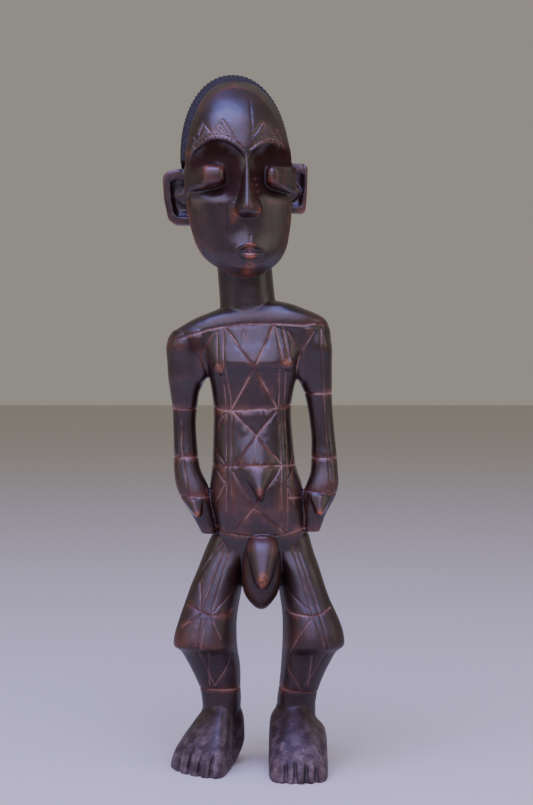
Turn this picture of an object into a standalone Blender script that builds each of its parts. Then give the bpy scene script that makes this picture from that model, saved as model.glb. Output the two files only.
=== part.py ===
"""A standing male figure carved from one block of hardwood, in the manner of old Central African work.

The whole carving is one solid: a long head with peg eyes and block ears, a column neck, a sloping
shoulder plate, arms that hang to hands laid on the hips, bent legs with sharp knees, and wedge feet
with cut toes. Lengths are millimetres at the figure's real height. +X is the viewer's right, the
figure looks along -Y, and the soles stand on Z = 0.
"""

import math

import bmesh
import bpy
from mathutils import Matrix, Vector
from mathutils.bvhtree import BVHTree

# Driving dimensions: the real height in metres, and the height that the tables are drawn at
HEIGHT = 0.695
DRAWN_HEIGHT = 695.0
MM = HEIGHT / DRAWN_HEIGHT

# Points round each loft
AROUND_HEAD = 28
AROUND_TORSO = 26
AROUND_ARM = 12
AROUND_LEG = 14
AROUND_SMALL = 12

# Torso and limbs, section by section
# height, centre x, centre y, half width, reach to the front, reach to the back
TORSO = [
    (180, 7.0, 2, 15.0, 16, 20),
    (196, 7.0, 3, 26.0, 24, 36),
    (214, 7.0, 3, 36.0, 29, 43),
    (234, 8.0, 2, 44.5, 34, 45),
    (256, 5.5, 0, 45.5, 38, 33),
    (268, 4.1, 0, 46.0, 39.5, 27),
    (284, 3.0, 0, 46.0, 39.5, 23),
    (303, 1.0, 0, 41.9, 37, 22),
    (330, 0.0, 0, 39.8, 32, 25),
    (359, -0.7, 0, 38.7, 29, 29),
    (381, -0.4, 0, 41.5, 30, 32),
    (395, 0.0, 0, 45.0, 32.5, 34),
    (406, 0.0, 0, 48.2, 38.4, 34),
    (416, 0.0, 0, 51.0, 35.0, 34),
    (428, -1.0, 0, 54.0, 30.0, 33),
    (444, -2.0, 0, 57.0, 25.5, 30),
]
# The ridge of the belly, which runs down to a beak over the navel
BELLY = [
    (262, 7.0, -10, 12.0, 24, 5),
    (271, 7.0, -10, 7.5, 33, 5),
    (274.5, 7.0, -10, 6.0, 38.5, 5),
    (277.5, 7.0, -10, 5.6, 41.6, 5),
    (281, 6.8, -10, 8.0, 41.2, 5),
    (289, 6.0, -10, 14.5, 38.0, 5),
    (297, 4.6, -10, 21.0, 34.6, 5),
    (305, 3.0, -10, 26.5, 31.4, 5),
    (320, 1.5, -10, 30.0, 26.4, 5),
    (346, 0.8, -10, 28.0, 18.0, 5),
]
# The fill of each armpit, between the chest and the arm
ARMPITS = (
    [
        (384, -54.0, 1, 2.0, 10, 10),
        (390, -53.0, 1, 6.5, 15, 15),
        (397, -52.0, 1, 10.5, 18.5, 18),
        (410, -52.0, 1, 15.0, 21, 20),
        (436, -56.0, 1, 19.0, 23, 23),
    ],
    [
        (385, 50.5, 1, 2.0, 10, 10),
        (391, 49.5, 1, 6.5, 15, 15),
        (398, 48.5, 1, 10.5, 18.5, 18),
        (410, 48.5, 1, 14.0, 21, 20),
        (438, 52.0, 1, 18.0, 23, 23),
    ],
)
SHOULDERS = [
    (423, -4.2, 1, 82.6, 19, 21),
    (430, -3.4, 1, 81.6, 22.5, 24),
    (436, -1.8, 1, 79.3, 25.0, 26),
    (442, 2.0, 1, 74.0, 26.6, 28),
    (449.5, 6.5, 1.5, 65.6, 26.8, 28),
    (455, 8.6, 2, 54.5, 26.0, 27),
    (460, 8.6, 3, 42.0, 24.5, 24),
    (464, 8.6, 4, 32.0, 22.5, 21),
    (468.3, 7.0, 5, 12.0, 10, 9),
]
NECK = [
    (455, -4.5, 2, 28.4, 25, 27),
    (468, -5.5, 2, 27.8, 24.5, 26),
    (490, -7.5, 2, 27.4, 24.5, 27),
    (516, -9.5, 2, 27.4, 25, 29),
    (543, -12.0, 2, 27.4, 27, 33),
    (562, -13.0, 2, 25.0, 27, 34),
]
LEFT_ARM = [
    (438, -62.0, 0, 18.0, 17, 17),
    (424, -68.0, 0, 18.8, 20, 19),
    (409, -67.2, 1, 18.9, 19, 18),
    (391, -66.2, 1, 18.8, 17.5, 17),
    (383.5, -67.2, 2, 16.8, 16.5, 16),
    (374.5, -68.4, 2, 14.3, 15, 15),
    (360, -68.4, 2, 12.3, 13.5, 13.5),
    (347, -68.7, 2, 11.5, 12.5, 12.5),
    (330, -68.1, 1, 11.5, 12.5, 12.5),
    (311, -67.0, -1, 12.3, 13, 13),
    (298, -65.6, -3, 13.5, 13.5, 13.5),
    (284, -61.2, -6, 15.9, 14, 14),
    (272, -57.3, -8, 15.2, 13.5, 14),
    (260, -52.4, -9, 12.4, 11, 13),
    (250, -48.4, -10, 10.4, 9, 12),
    (240, -45.2, -11, 8.2, 8, 11),
    (235.5, -44.4, -11, 6.6, 6.5, 9),
]
RIGHT_ARM = [
    (444, 56.0, 0, 17.0, 17, 17),
    (424, 62.6, 0, 16.4, 20, 19),
    (407, 61.6, 1, 17.5, 19, 18),
    (394, 61.0, 1, 18.1, 17.5, 17),
    (385, 63.2, 2, 15.9, 16.5, 16),
    (375, 65.3, 2, 13.8, 15, 15),
    (364, 66.7, 2, 12.7, 13.5, 13.5),
    (349, 68.5, 2, 12.0, 12.5, 12.5),
    (330, 70.4, 1, 11.9, 12.5, 12.5),
    (311, 71.2, -1, 13.0, 13, 13),
    (298, 71.4, -3, 13.6, 13.5, 13.5),
    (287, 70.0, -6, 15.6, 14, 14),
    (277, 67.2, -8, 16.8, 13.5, 14),
    (270, 65.6, -9, 15.6, 12.5, 13.5),
    (262, 63.4, -10, 13.3, 11.5, 13),
    (254, 61.2, -10, 11.2, 9.5, 12),
    (245, 60.0, -11, 9.2, 8, 11),
    (237.5, 58.8, -11, 7.4, 6.5, 9),
]
LEFT_LEG = [
    (244, -14.0, 4, 20.0, 20, 32),
    (232, -17.0, 4, 24.0, 26, 41),
    (217, -22.5, 4, 25.0, 28, 41),
    (200, -30.0, 1, 23.6, 31, 37),
    (185, -35.4, -3, 24.5, 32, 32),
    (167, -40.3, -8, 26.1, 33, 30),
    (152, -43.9, -12, 27.5, 36, 28),
    (138, -46.0, -14, 29.5, 39.5, 27),
    (128, -46.4, -15, 30.2, 40.5, 27),
    (124.5, -45.6, -14, 29.6, 38, 27),
    (121.5, -44.0, -12, 28.4, 32, 26),
    (117, -42.4, -9, 27.0, 29, 26),
    (106, -38.9, -4, 25.1, 27, 26),
    (95, -36.0, -2, 22.9, 24, 24),
    (80, -33.0, 1, 20.0, 20, 21),
    (66, -31.6, 3, 19.1, 19, 20),
    (52, -31.5, 4, 18.0, 18, 18),
]
RIGHT_LEG = [
    (244, 28.0, 4, 23.0, 20, 32),
    (232, 31.0, 4, 24.5, 26, 41),
    (218, 35.2, 4, 24.0, 28, 41),
    (202, 42.2, 1, 22.2, 31, 37),
    (185, 47.8, -3, 21.8, 32, 32),
    (171, 51.3, -8, 23.4, 32, 30),
    (157, 55.5, -12, 25.8, 35, 28),
    (142, 58.4, -15, 28.6, 38.5, 27),
    (130, 59.2, -16, 29.6, 40, 27),
    (125, 58.4, -15, 29.0, 38, 27),
    (121.5, 57.0, -13, 27.6, 32, 26),
    (117, 55.2, -9, 26.0, 29, 26),
    (106, 52.2, -5, 23.4, 27, 26),
    (95, 49.3, -3, 21.3, 24, 24),
    (79, 45.6, -1, 19.4, 20, 21),
    (66, 43.4, 2, 19.0, 19, 20),
    (52, 43.5, 3, 18.0, 18, 18),
]
LEG_TURN = math.radians(14.0)

# Corners nearer than this are one corner, in metres
MERGE = 0.000002

# Rings cut right round a section: their heights, depth and half breadth
CUT_DEPTH = 1.3
CUT_HALF = 1.3
TORSO_RINGS = (359.0, 303.0)
LEFT_ARM_RINGS = (360.0, 311.0, 272.0)
RIGHT_ARM_RINGS = (375.0, 311.0, 277.0)
LEFT_LEG_RINGS = (80.0,)
RIGHT_LEG_RINGS = (79.0,)

# The face plate seen from the front
# height, centre x, half width, y of the rim, swell of the plate in front of its bevel
FACE = [
    (488.5, -5.5, 0.5, -44, 1),
    (491, -6.0, 12.0, -43, 2.5),
    (496, -7.2, 22.0, -41, 6.5),
    (503, -8.6, 32.5, -39, 10.5),
    (511, -9.8, 39.6, -38, 13),
    (521, -10.7, 44.6, -36, 15.5),
    (532, -11.5, 47.4, -35, 16.5),
    (548, -12.6, 50.6, -34, 18),
    (575, -13.6, 52.0, -34, 18.5),
    (606, -13.9, 52.0, -34, 19.5),
    (622, -14.3, 49.8, -32, 20),
    (643, -14.7, 44.4, -27, 18.5),
    (660, -15.4, 37.2, -19, 15.5),
    (672, -16.2, 29.8, -11, 11.5),
    (681, -16.4, 20.5, -4, 7.5),
    (686, -16.4, 10.0, 1, 3.5),
    (687.5, -16.4, 0.5, 3, 1),
]
FACE_MIDDLE = (-13.8, 586.0)
FACE_SPREAD = (52.0, 100.0)
FACE_TURN = math.tan(math.radians(8.0))
BEVEL_START = 0.905
BEVEL_DEPTH = 7.5
FACE_RINGS = (0.28, 0.52, 0.74, BEVEL_START)
# The swelling round the mouth: its middle across and up, how far it stands out, and its reach
MUZZLE = {"x": -2.2, "z": 513.0, "stand": 5.0, "reach": 19.0, "fall": 1.6}
# How far back the rim lies at the cheeks
RIM_Y = -34.0

# The head behind the plate: y, centre x, middle height, half width, half height, share of the face's egg shape
SKULL = [
    (-8, -14.8, 596, 52.6, 94, 0.75),
    (12, -16.0, 603, 53.2, 84, 0.35),
    (30, -17.0, 611, 49.0, 71, 0.0),
    (45, -17.5, 613, 39.0, 56, 0.0),
    (54, -18.0, 614, 27.0, 39, 0.0),
    (58.5, -18.0, 614, 13.0, 19, 0.0),
]

# The hair stands proud of the skull: y, lean of the section with height, middle height, half width, half height
HAIR = [
    (-31, 0.40, 604, 50.5, 83.0),
    (-27, 0.39, 605, 53.2, 85.8),
    (2, 0.10, 607, 54.8, 87.4),
    (24, 0.03, 610, 53.0, 81.0),
    (42, 0.0, 613, 44.0, 64.0),
    (54, 0.0, 614, 30.5, 44.0),
    (60, 0.0, 614, 14.0, 20.0),
]
HAIR_MIDDLE_X = -17.6
HAIR_LEAN = -0.035
HAIR_LINE = [(-70, 603), (-70, 430), (90, 430), (90, 540), (40, 545), (14, 596), (-2, 604)]

# Eye sockets: the brow arch and the foot of the hollow, across and up
LEFT_SOCKET = [
    (-64, 596), (-60, 608), (-50, 617.5), (-41, 621.5), (-33, 622.5), (-25, 621), (-17, 616.5), (-9.5, 610),
    (-7.5, 596), (-11.5, 580), (-18, 568), (-34, 565), (-52, 566),
]
RIGHT_SOCKET = [
    (41, 596), (37, 608), (29, 616), (23, 619.3), (17, 620), (11, 618.6), (5, 615), (-1.2, 610),
    (-3.5, 596), (0.5, 580), (7.5, 568), (20, 565), (33, 566),
]
LEFT_SOCKET_MIDDLE = (-33.0, 594.0)
RIGHT_SOCKET_MIDDLE = (17.0, 594.0)
# How deep the hollow is under the brow and at its middle, and the heights between which it runs out on the cheek
SOCKET_STEP = 2.4
SOCKET_DEPTH = 10.5
SOCKET_FADE = (604.0, 576.0)
SOCKET_PROUD = 0.8
SOCKET_INNER = 0.42

# Eye pegs: x, y of the front, middle height, half height
LEFT_PEG = [
    (-67, -39.0, 584.6, 14.0),
    (-62.6, -45.5, 585.0, 14.0),
    (-54, -57.0, 585.6, 13.6),
    (-46, -67.0, 586.4, 13.2),
    (-38, -68.8, 587.2, 12.4),
    (-31, -67.6, 587.6, 11.4),
    (-27.6, -64.4, 587.6, 9.6),
    (-26.0, -60.0, 587.4, 7.0),
]
RIGHT_PEG = [
    (43, -29.0, 585.0, 13.2),
    (38.5, -36.0, 585.2, 12.8),
    (31, -52.0, 585.8, 12.2),
    (24, -59.5, 586.6, 11.6),
    (18.4, -61.5, 587.2, 10.8),
    (14.8, -59.0, 587.4, 9.2),
    (13.2, -54, 587.2, 6.8),
]
PEG_POWER = 3.4
PEG_BACK_Y = -26.0

# The nose, in level sections as the limbs are
NOSE = [
    (547.5, -5.2, -50, 7.0, 16, 6),
    (550.5, -5.0, -50, 14.5, 21.5, 8),
    (553.5, -5.0, -50, 17.0, 25.5, 8),
    (557, -5.0, -50, 16.8, 26.4, 8),
    (563, -5.0, -50, 14.6, 24.4, 8),
    (572, -5.1, -50, 11.2, 20.6, 8),
    (584, -5.3, -50, 8.2, 16.4, 8),
    (597, -5.5, -50, 6.0, 12.6, 8),
    (610, -5.6, -50, 4.6, 10.4, 8),
]
NOSE_POWER = 1.8
UPPER_LIP = [
    (-15, -55, 513.6), (10.3, -54, 513.6), (-2.4, -54, 524), (-2.4, -66, 521.5), (-7.5, -66, 516),
    (3.2, -65.5, 516), (-2.4, -68, 516.4), (-2.4, -50, 514),
]
LOWER_LIP = [
    (-14.5, -55, 513.0), (9.9, -54, 513.0), (-2.4, -54, 504.5), (-2.4, -64, 507), (-8, -65, 511.4),
    (3.6, -64.5, 511.4), (-2.4, -67, 511.6), (-2.4, -50, 513),
]

# Block ears: outline across and up, the hollow, and the peg of the inner ear
LEFT_EAR = [(-58, 600), (-69, 599.5), (-85, 596.5), (-90, 591), (-88.7, 569), (-84.4, 548.5), (-77, 543), (-58, 543)]
LEFT_HOLLOW = [(-60, 587), (-77, 588.5), (-82, 585.5), (-81.4, 570), (-78.6, 555), (-74.6, 550.6), (-60, 550.2)]
LEFT_TRAGUS = [(-66, -11, 584), (-66, -11, 559), (-66, 4, 572), (-80, -10, 571), (-77, -2, 571.5), (-66, -16, 572)]
RIGHT_EAR = [(30, 604), (51, 603.8), (54.5, 600), (54, 576.6), (52.5, 557.6), (49.6, 554.6), (30, 555.6)]
RIGHT_HOLLOW = [(32, 593), (47.5, 594.6), (50.6, 592), (50.2, 577), (48.6, 564.4), (45.8, 561.4), (32, 561.4)]
RIGHT_TRAGUS = [(38, -7, 589), (38, -7, 563), (38, 8, 577), (50.0, -5, 576), (48, 2, 577), (38, -11, 576)]
EAR_Y = (-8.0, 13.0)
HOLLOW_FLOOR_Y = -2.0

# Thumbs, as wedges that stand proud of the hands
LEFT_THUMB = [
    (-72, -10, 270), (-70, -17, 271), (-60, -24.5, 270.5), (-50, -20, 270.5), (-56.8, -28.5, 255),
    (-52.6, -28.5, 254), (-55, -24, 251.5), (-62, -12, 256), (-48, -12, 258),
]
RIGHT_THUMB = [
    (80, -10, 272), (78, -17, 274), (67, -24.5, 275), (56, -20, 275), (68.8, -28.5, 256.5),
    (64.4, -28.5, 256), (66.4, -24, 253.5), (72.5, -12, 258), (57, -12, 262),
]

SHAFT = [
    (234, 9.5, -28, 6.0, 5, 8),
    (230, 9.6, -30, 13.0, 12, 10),
    (222, 9.8, -33, 16.4, 17, 12),
    (210, 9.8, -37, 15.4, 20, 14),
    (200, 9.7, -41, 12.8, 21, 16),
    (193, 9.6, -44, 10.0, 19, 16),
    (188, 9.6, -47, 7.4, 15.5, 13),
    (185.5, 9.6, -49, 4.5, 10, 8),
]
SCROTUM = [
    (222, 8.4, -20, 14.0, 12, 20),
    (205, 8.2, -22, 17.5, 17, 26),
    (188, 8.0, -22, 18.6, 19, 26),
    (178, 8.0, -22, 17.8, 18, 24),
    (169, 8.0, -21, 13.0, 14, 18),
    (163.5, 8.2, -20, 7.4, 9, 11),
    (161.5, 8.4, -20, 3.0, 4, 5),
]
NIPPLES = [(-32.1, 401.5), (33.6, 405.7)]
NIPPLE = {"radius": 3.6, "stand": 2.6}

# A foot: the ankle, the outline of the sole, how far the foot swells above it and which way, and the heights
# at which its back meets the ankle at the right, behind, at the left and in front, as the viewer sees it; then
# the places of the gaps between the toes, and the angles round the ankle, in degrees, at which it is drawn
LEFT_FOOT = {
    "ankle": (-31.5, 4.0),
    "sole": [
        (-31, 45), (-43, 40), (-52, 27), (-66, 12), (-79, 3), (-84, -8), (-81, -19), (-72, -38), (-58, -52),
        (-45, -61), (-35, -63), (-28.5, -55), (-23, -25), (-19.5, 5), (-18, 26), (-22, 40),
    ],
    "flare": 11.0,
    "flare_towards": math.radians(15.0),
    "heights": (58.0, 50.0, 56.0, 62.0),
    "toe_height": 13.5,
    "least_fall": 50.0,
    "gaps": [(-74.5, -34.0), (-64.5, -46.0), (-54.0, -55.0), (-42.5, -62.0)],
    "gap_turn": math.radians(-24.0),
    "angles": (5, 32, 58, 75, 90, 108, 131, 155, 173, 183, 193, 205, 226, 244.5, 258, 267.5, 275, 292, 330),
}
RIGHT_FOOT = {
    "ankle": (43.5, 3.0),
    "sole": [
        (43, 42), (31, 38), (21, 26), (17, 8), (15.6, -20), (16.2, -60), (20, -77), (32, -85.5), (46, -87),
        (59, -84.5), (70, -75), (73.6, -58), (74.2, -20), (73, 8), (67, 28), (56, 39),
    ],
    "flare": 0.0,
    "flare_towards": 0.0,
    "heights": (48.0, 50.0, 60.0, 62.0),
    "toe_height": 16.0,
    "least_fall": 62.0,
    "gaps": [(32.2, -85.0), (41.4, -86.8), (52.0, -86.2), (62.0, -82.5)],
    "gap_turn": 0.0,
    "angles": (0, 25, 50, 75, 100, 125, 150, 172, 195, 222, 241, 253.5, 264, 277, 288.5, 301, 318, 339),
}
ANKLE_RADIUS = 19.5
FOOT_LEVELS = (0.0, 1.5, 9.0, 15.0, 20.0, 27.0, 35.0, 43.0, 51.0, 63.0)
SOLE_ROUND = 1.2
FLARE_LEVEL = 30.0
# How rounded the edges between the back and the sides are: a lower number is rounder
EDGE_POWER = 11.0
# A cut between two toes, as seen from the side: how far in from the front, and the height
TOE_CUT_FRONT = [(-8, -5), (5.5, -5), (5.5, 11), (-8, 28)]
TOE_CUT_TOP = [(-8, 5), (3.5, 9), (8.5, 26), (8.5, 40), (-8, 40)]
TOE_CUT = {"outer": 2.4, "inner": 0.3, "start": -8.0, "end": 8.5}

# Incised lines on the front: runs of points across and up
FRONT_LINES = [
    [(-83, 429.4), (-67, 432.4), (-45, 438.8), (-30, 441.6), (-7, 443.9), (21, 444.4), (49, 443), (70, 445)],
    [(-27, 440.5), (1.8, 401), (20.6, 360.5)],
    [(20.6, 441.5), (1.8, 401), (-20.9, 360.5)],
    [(-19.5, 357), (28.2, 304)],
    [(21.9, 357), (-17.7, 304)],
    [(-19.5, 301), (-6, 277), (1.2, 263.5), (31.9, 237.5)],
    [(28.1, 302), (18, 288), (13.6, 280.5), (9.5, 274), (1.2, 263.5), (-17, 240)],
    [(-25.9, 358), (-26, 238)],
    [(-20.8, 358), (-20.9, 237.5)],
    [(25.6, 358), (28.2, 304), (28.2, 237.5)],
    [(30.7, 358), (33.7, 304), (34.5, 240)],
    [(-36.5, 242), (-26, 237), (5.5, 233.8), (18, 234), (32, 236), (45, 239.3), (51, 241.5)],
]
LINE = {"depth": 1.4, "half": 1.2, "proud": 1.0, "step": 22.0}
# Planes well in front of the figure, where rays and cutting tools start
RAY_START_Y = -300.0
TOOL_START_Y = -120.0
HALVINGS = 40


def clear_scene():
    """Removes whatever the open file holds."""
    for obj in list(bpy.data.objects):
        bpy.data.objects.remove(obj)


def superellipse(angle, half_width, half_depth, power):
    """A point on an oval that grows squarer as its power rises above 2."""
    c, s = math.cos(angle), math.sin(angle)
    x = half_width * math.copysign(abs(c) ** (2 / power), c)
    y = half_depth * math.copysign(abs(s) ** (2 / power), s)
    return x, y


def table(rows, level):
    """The row of a table at a level between two of its rows, by straight interpolation."""
    rows = sorted(rows)
    if level <= rows[0][0]:
        return rows[0]
    for low, high in zip(rows, rows[1:]):
        if level <= high[0]:
            t = (level - low[0]) / (high[0] - low[0])
            return tuple(a + (b - a) * t for a, b in zip(low, high))
    return rows[-1]


def mesh_object(name, bm):
    """Turns a finished bmesh into an object, in metres."""
    bmesh.ops.recalc_face_normals(bm, faces=bm.faces)
    bmesh.ops.scale(bm, vec=(MM, MM, MM), verts=bm.verts)
    mesh = bpy.data.meshes.new(name)
    bm.to_mesh(mesh)
    bm.free()
    obj = bpy.data.objects.new(name, mesh)
    bpy.context.scene.collection.objects.link(obj)
    return obj


def skin(name, rings):
    """A closed body through rings of equal count, with a flat face at each end."""
    bm = bmesh.new()
    loops = [[bm.verts.new(p) for p in ring] for ring in rings]
    for low, high in zip(loops, loops[1:]):
        for i in range(len(low)):
            j = (i + 1) % len(low)
            bm.faces.new((low[i], low[j], high[j], high[i]))
    bm.faces.new(loops[0])
    bm.faces.new(loops[-1])
    return mesh_object(name, bm)


def hull(name, points):
    """The tight body round a few points: a carved wedge."""
    bm = bmesh.new()
    for point in points:
        bm.verts.new(point)
    found = bmesh.ops.convex_hull(bm, input=bm.verts)
    spare = {item for item in found["geom_interior"] + found["geom_unused"] if isinstance(item, bmesh.types.BMVert)}
    bmesh.ops.delete(bm, geom=list(spare), context="VERTS")
    return mesh_object(name, bm)


def column(name, keys, around, power=(2.2, 2.2), turn=0.0, cuts=()):
    """A body of level sections, such as a torso or a limb, with rings cut right round it.

    Power holds how square the front and the back are.
    """
    rows = [(key, 0.0) for key in keys]
    for level in cuts:
        nearest = min(rows, key=lambda row: abs(row[0][0] - level))
        if abs(nearest[0][0] - level) < 3 * CUT_HALF:
            rows.remove(nearest)
        for offset, depth in ((-CUT_HALF, 0.0), (0.0, CUT_DEPTH), (CUT_HALF, 0.0)):
            rows.append((table(keys, level + offset), depth))
    rows.sort(key=lambda row: row[0][0])
    rings = []
    for (z, x, y, half_width, front, back), depth in rows:
        ring = []
        for i in range(around):
            angle = 2 * math.pi * i / around
            at_front = math.sin(angle) < 0
            reach = (front if at_front else back) - depth
            px, py = superellipse(angle, half_width - depth, reach, power[0] if at_front else power[1])
            ring.append(Vector((x, y, z)) + Matrix.Rotation(turn, 3, "Z") @ Vector((px, py, 0)))
        rings.append(ring)
    return skin(name, rings)


def boolean(target, operand, operation):
    """Joins the operand to the target, or cuts it away, and removes the operand."""
    modifier = target.modifiers.new(operation.title(), "BOOLEAN")
    modifier.operation = operation
    modifier.solver = "EXACT"
    modifier.object = operand
    bpy.context.view_layer.update()
    graph = bpy.context.evaluated_depsgraph_get()
    mesh = bpy.data.meshes.new_from_object(target.evaluated_get(graph))
    target.modifiers.clear()
    target.data = mesh
    bpy.data.objects.remove(operand)
    return target


def join(target, *pieces):
    """Unites the pieces with the target, one after the other."""
    for piece in pieces:
        boolean(target, piece, "UNION")
    return target


def cut(target, *tools):
    """Cuts each tool's shape out of the target."""
    for tool in tools:
        boolean(target, tool, "DIFFERENCE")
    return target


def slab(name, outline, near, far):
    """A straight body along Y with the outline's points across and up."""
    return skin(name, [[(x, level, z) for x, z in outline] for level in (near, far)])


def face_reach(angle):
    """The point of the face plate's outline that lies at an angle from its middle."""
    middle_x, middle_z = FACE_MIDDLE
    step = (math.cos(angle) * FACE_SPREAD[0], math.sin(angle) * FACE_SPREAD[1])
    low, high = 0.0, 2.0
    for _ in range(HALVINGS):
        share = (low + high) / 2
        x, z = middle_x + step[0] * share, middle_z + step[1] * share
        _, centre, half_width, _, _ = table(FACE, z)
        inside = FACE[0][0] < z < FACE[-1][0] and abs(x - centre) < half_width
        low, high = (share, high) if inside else (low, share)
    return middle_x + step[0] * low, middle_z + step[1] * low


def plate_y(x, z):
    """How far forward the face plate lies inside its bevel."""
    _, centre, half_width, rim, swell = table(FACE, z)
    across = min(1.0, abs(x - centre) / (half_width * BEVEL_START))
    away = ((x - MUZZLE["x"]) ** 2 + (z - MUZZLE["z"]) ** 2) / MUZZLE["reach"] ** 2
    muzzle = MUZZLE["stand"] * math.exp(-MUZZLE["fall"] * away)
    return rim - BEVEL_DEPTH - swell * (1 - across**2.2) - muzzle + (x - FACE_MIDDLE[0]) * FACE_TURN


def plate_point(outline_point, share):
    """A point on the face plate, at a share of the way from its middle to its outline."""
    x = FACE_MIDDLE[0] + (outline_point[0] - FACE_MIDDLE[0]) * share
    z = FACE_MIDDLE[1] + (outline_point[1] - FACE_MIDDLE[1]) * share
    if share < 1.0:
        return x, plate_y(x, z), z
    return x, table(FACE, z)[3] + (x - FACE_MIDDLE[0]) * FACE_TURN, z


def build_skull():
    """The face plate with its bevelled rim, and the skull that closes behind it."""
    angles = [2 * math.pi * i / AROUND_HEAD for i in range(AROUND_HEAD)]
    outline = [face_reach(angle) for angle in angles]
    rings = [[plate_point(point, share) for point in outline] for share in (0.06,) + FACE_RINGS + (1.0,)]
    for y, centre_x, middle_z, half_width, half_height, egg in SKULL:
        ring = []
        for angle, (edge_x, edge_y, edge_z) in zip(angles, rings[len(FACE_RINGS) + 1]):
            px, pz = superellipse(angle, half_width, half_height, 2.15)
            x = centre_x + px + (edge_x - centre_x - px) * egg
            z = middle_z + pz + (edge_z - middle_z - pz) * egg
            ring.append((x, y + (edge_y - RIM_Y) * egg, z))
        rings.append(ring)
    return skin("skull", rings)


def build_hair():
    """The hair: a cap that stands proud of the skull above a hairline."""
    rings = []
    for y, lean, middle_z, half_width, half_height in HAIR:
        ring = []
        for i in range(AROUND_HEAD):
            px, pz = superellipse(2 * math.pi * i / AROUND_HEAD, half_width, half_height, 2.1)
            ring.append((HAIR_MIDDLE_X + px + HAIR_LEAN * pz, y + lean * (pz + FACE_TURN * px), middle_z + pz))
        rings.append(ring)
    cap = skin("hair", rings)
    below = skin("hairline", [[(x, y, z) for y, z in HAIR_LINE] for x in (-120, 90)])
    return cut(cap, below)


def socket_tool(name, outline, middle):
    """A cut below the brow: a small step under the arch, a hollow behind the peg, running out on the cheek."""
    front, edge, inner = [], [], []
    for x, z in outline:
        left = max(0.0, min(1.0, (z - SOCKET_FADE[1]) / (SOCKET_FADE[0] - SOCKET_FADE[1])))
        front.append((x, TOOL_START_Y, z))
        edge.append((x, plate_y(x, z) + SOCKET_STEP * left - SOCKET_PROUD * (1 - left), z))
        px, pz = middle[0] + (x - middle[0]) * SOCKET_INNER, middle[1] + (z - middle[1]) * SOCKET_INNER
        inner.append((px, plate_y(px, pz) + SOCKET_DEPTH, pz))
    return skin(name, [front, edge, inner])


def peg(name, keys):
    """A half-round bar across the socket."""
    rings = []
    for x, front, middle_z, half_height in keys:
        ring = []
        for i in range(AROUND_SMALL):
            py, pz = superellipse(2 * math.pi * i / AROUND_SMALL, PEG_BACK_Y - front, half_height, PEG_POWER)
            ring.append((x, PEG_BACK_Y + min(py, 0.0) + 0.01 * max(py, 0.0), middle_z + pz))
        rings.append(ring)
    return skin(name, rings)


def build_head():
    """The head with its sockets, pegs, nose, lips, hair and ears."""
    head = build_skull()
    cut(head, socket_tool("left_socket", LEFT_SOCKET, LEFT_SOCKET_MIDDLE))
    cut(head, socket_tool("right_socket", RIGHT_SOCKET, RIGHT_SOCKET_MIDDLE))
    join(head, peg("left_peg", LEFT_PEG), peg("right_peg", RIGHT_PEG))
    join(head, column("nose", NOSE, AROUND_SMALL, (NOSE_POWER, 2.2)))
    join(head, hull("upper_lip", UPPER_LIP), hull("lower_lip", LOWER_LIP), build_hair())
    for outline, hollow, tragus in (
        (LEFT_EAR, LEFT_HOLLOW, LEFT_TRAGUS),
        (RIGHT_EAR, RIGHT_HOLLOW, RIGHT_TRAGUS),
    ):
        ear = cut(slab("ear", outline, *EAR_Y), slab("hollow", hollow, EAR_Y[0] - 20, HOLLOW_FLOOR_Y))
        join(head, ear, hull("tragus", tragus))
    return head


def sole_reach(ankle, sole, angle):
    """How far the edge of the sole lies from the ankle's middle, at an angle from +X."""
    way = (math.cos(angle), math.sin(angle))
    best = ANKLE_RADIUS
    for (ax, ay), (bx, by) in zip(sole, sole[1:] + sole[:1]):
        ax, ay, bx, by = ax - ankle[0], ay - ankle[1], bx - ankle[0], by - ankle[1]
        cross = way[0] * (by - ay) - way[1] * (bx - ax)
        if cross == 0:
            continue
        reach = (ax * (by - ay) - ay * (bx - ax)) / cross
        share = (ax * way[1] - ay * way[0]) / cross
        if reach > 0 and 0 <= share <= 1:
            best = reach
    return best


def foot(name, spec):
    """A broad foot: an upright edge round the sole, and a back that falls away from the ankle to the toes."""
    rings = []
    for level in FOOT_LEVELS:
        ring = []
        for angle in map(math.radians, spec["angles"]):
            edge = sole_reach(spec["ankle"], spec["sole"], angle)
            swell = max(0.0, math.cos(angle - spec["flare_towards"])) ** 2
            swell *= spec["flare"] * math.sin(min(1.0, level / FLARE_LEVEL) * math.pi / 2)
            side = edge + swell - (SOLE_ROUND if level == 0 else 0.0)
            weights = [max(0.0, math.cos(angle - k * math.pi / 2)) ** 2 for k in range(4)]
            top = sum(weight * height for weight, height in zip(weights, spec["heights"]))
            slope = (max(edge, spec["least_fall"]) - ANKLE_RADIUS) / (top - spec["toe_height"])
            back = ANKLE_RADIUS + slope * max(0.0, top - level)
            reach = (side**-EDGE_POWER + back**-EDGE_POWER) ** (-1 / EDGE_POWER)
            ring.append((spec["ankle"][0] + reach * math.cos(angle), spec["ankle"][1] + reach * math.sin(angle), level))
        rings.append(ring)
    return skin(name, rings)


def toe_cuts(name, spec):
    """The wedges that part the toes, two for each gap: one for the front and one for the top."""
    swing = Matrix.Rotation(spec["gap_turn"], 2)
    length = TOE_CUT["end"] - TOE_CUT["start"]
    tools = []
    for gap_x, gap_y in spec["gaps"]:
        for profile in (TOE_CUT_FRONT, TOE_CUT_TOP):
            points = []
            for along, z in profile:
                share = (along - TOE_CUT["start"]) / length
                half = TOE_CUT["outer"] + (TOE_CUT["inner"] - TOE_CUT["outer"]) * share
                for across in (-half, half):
                    spot = swing @ Vector((across, along))
                    points.append((gap_x + spot.x, gap_y + spot.y, z))
            tools.append(hull(name, points))
    return tools


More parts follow.
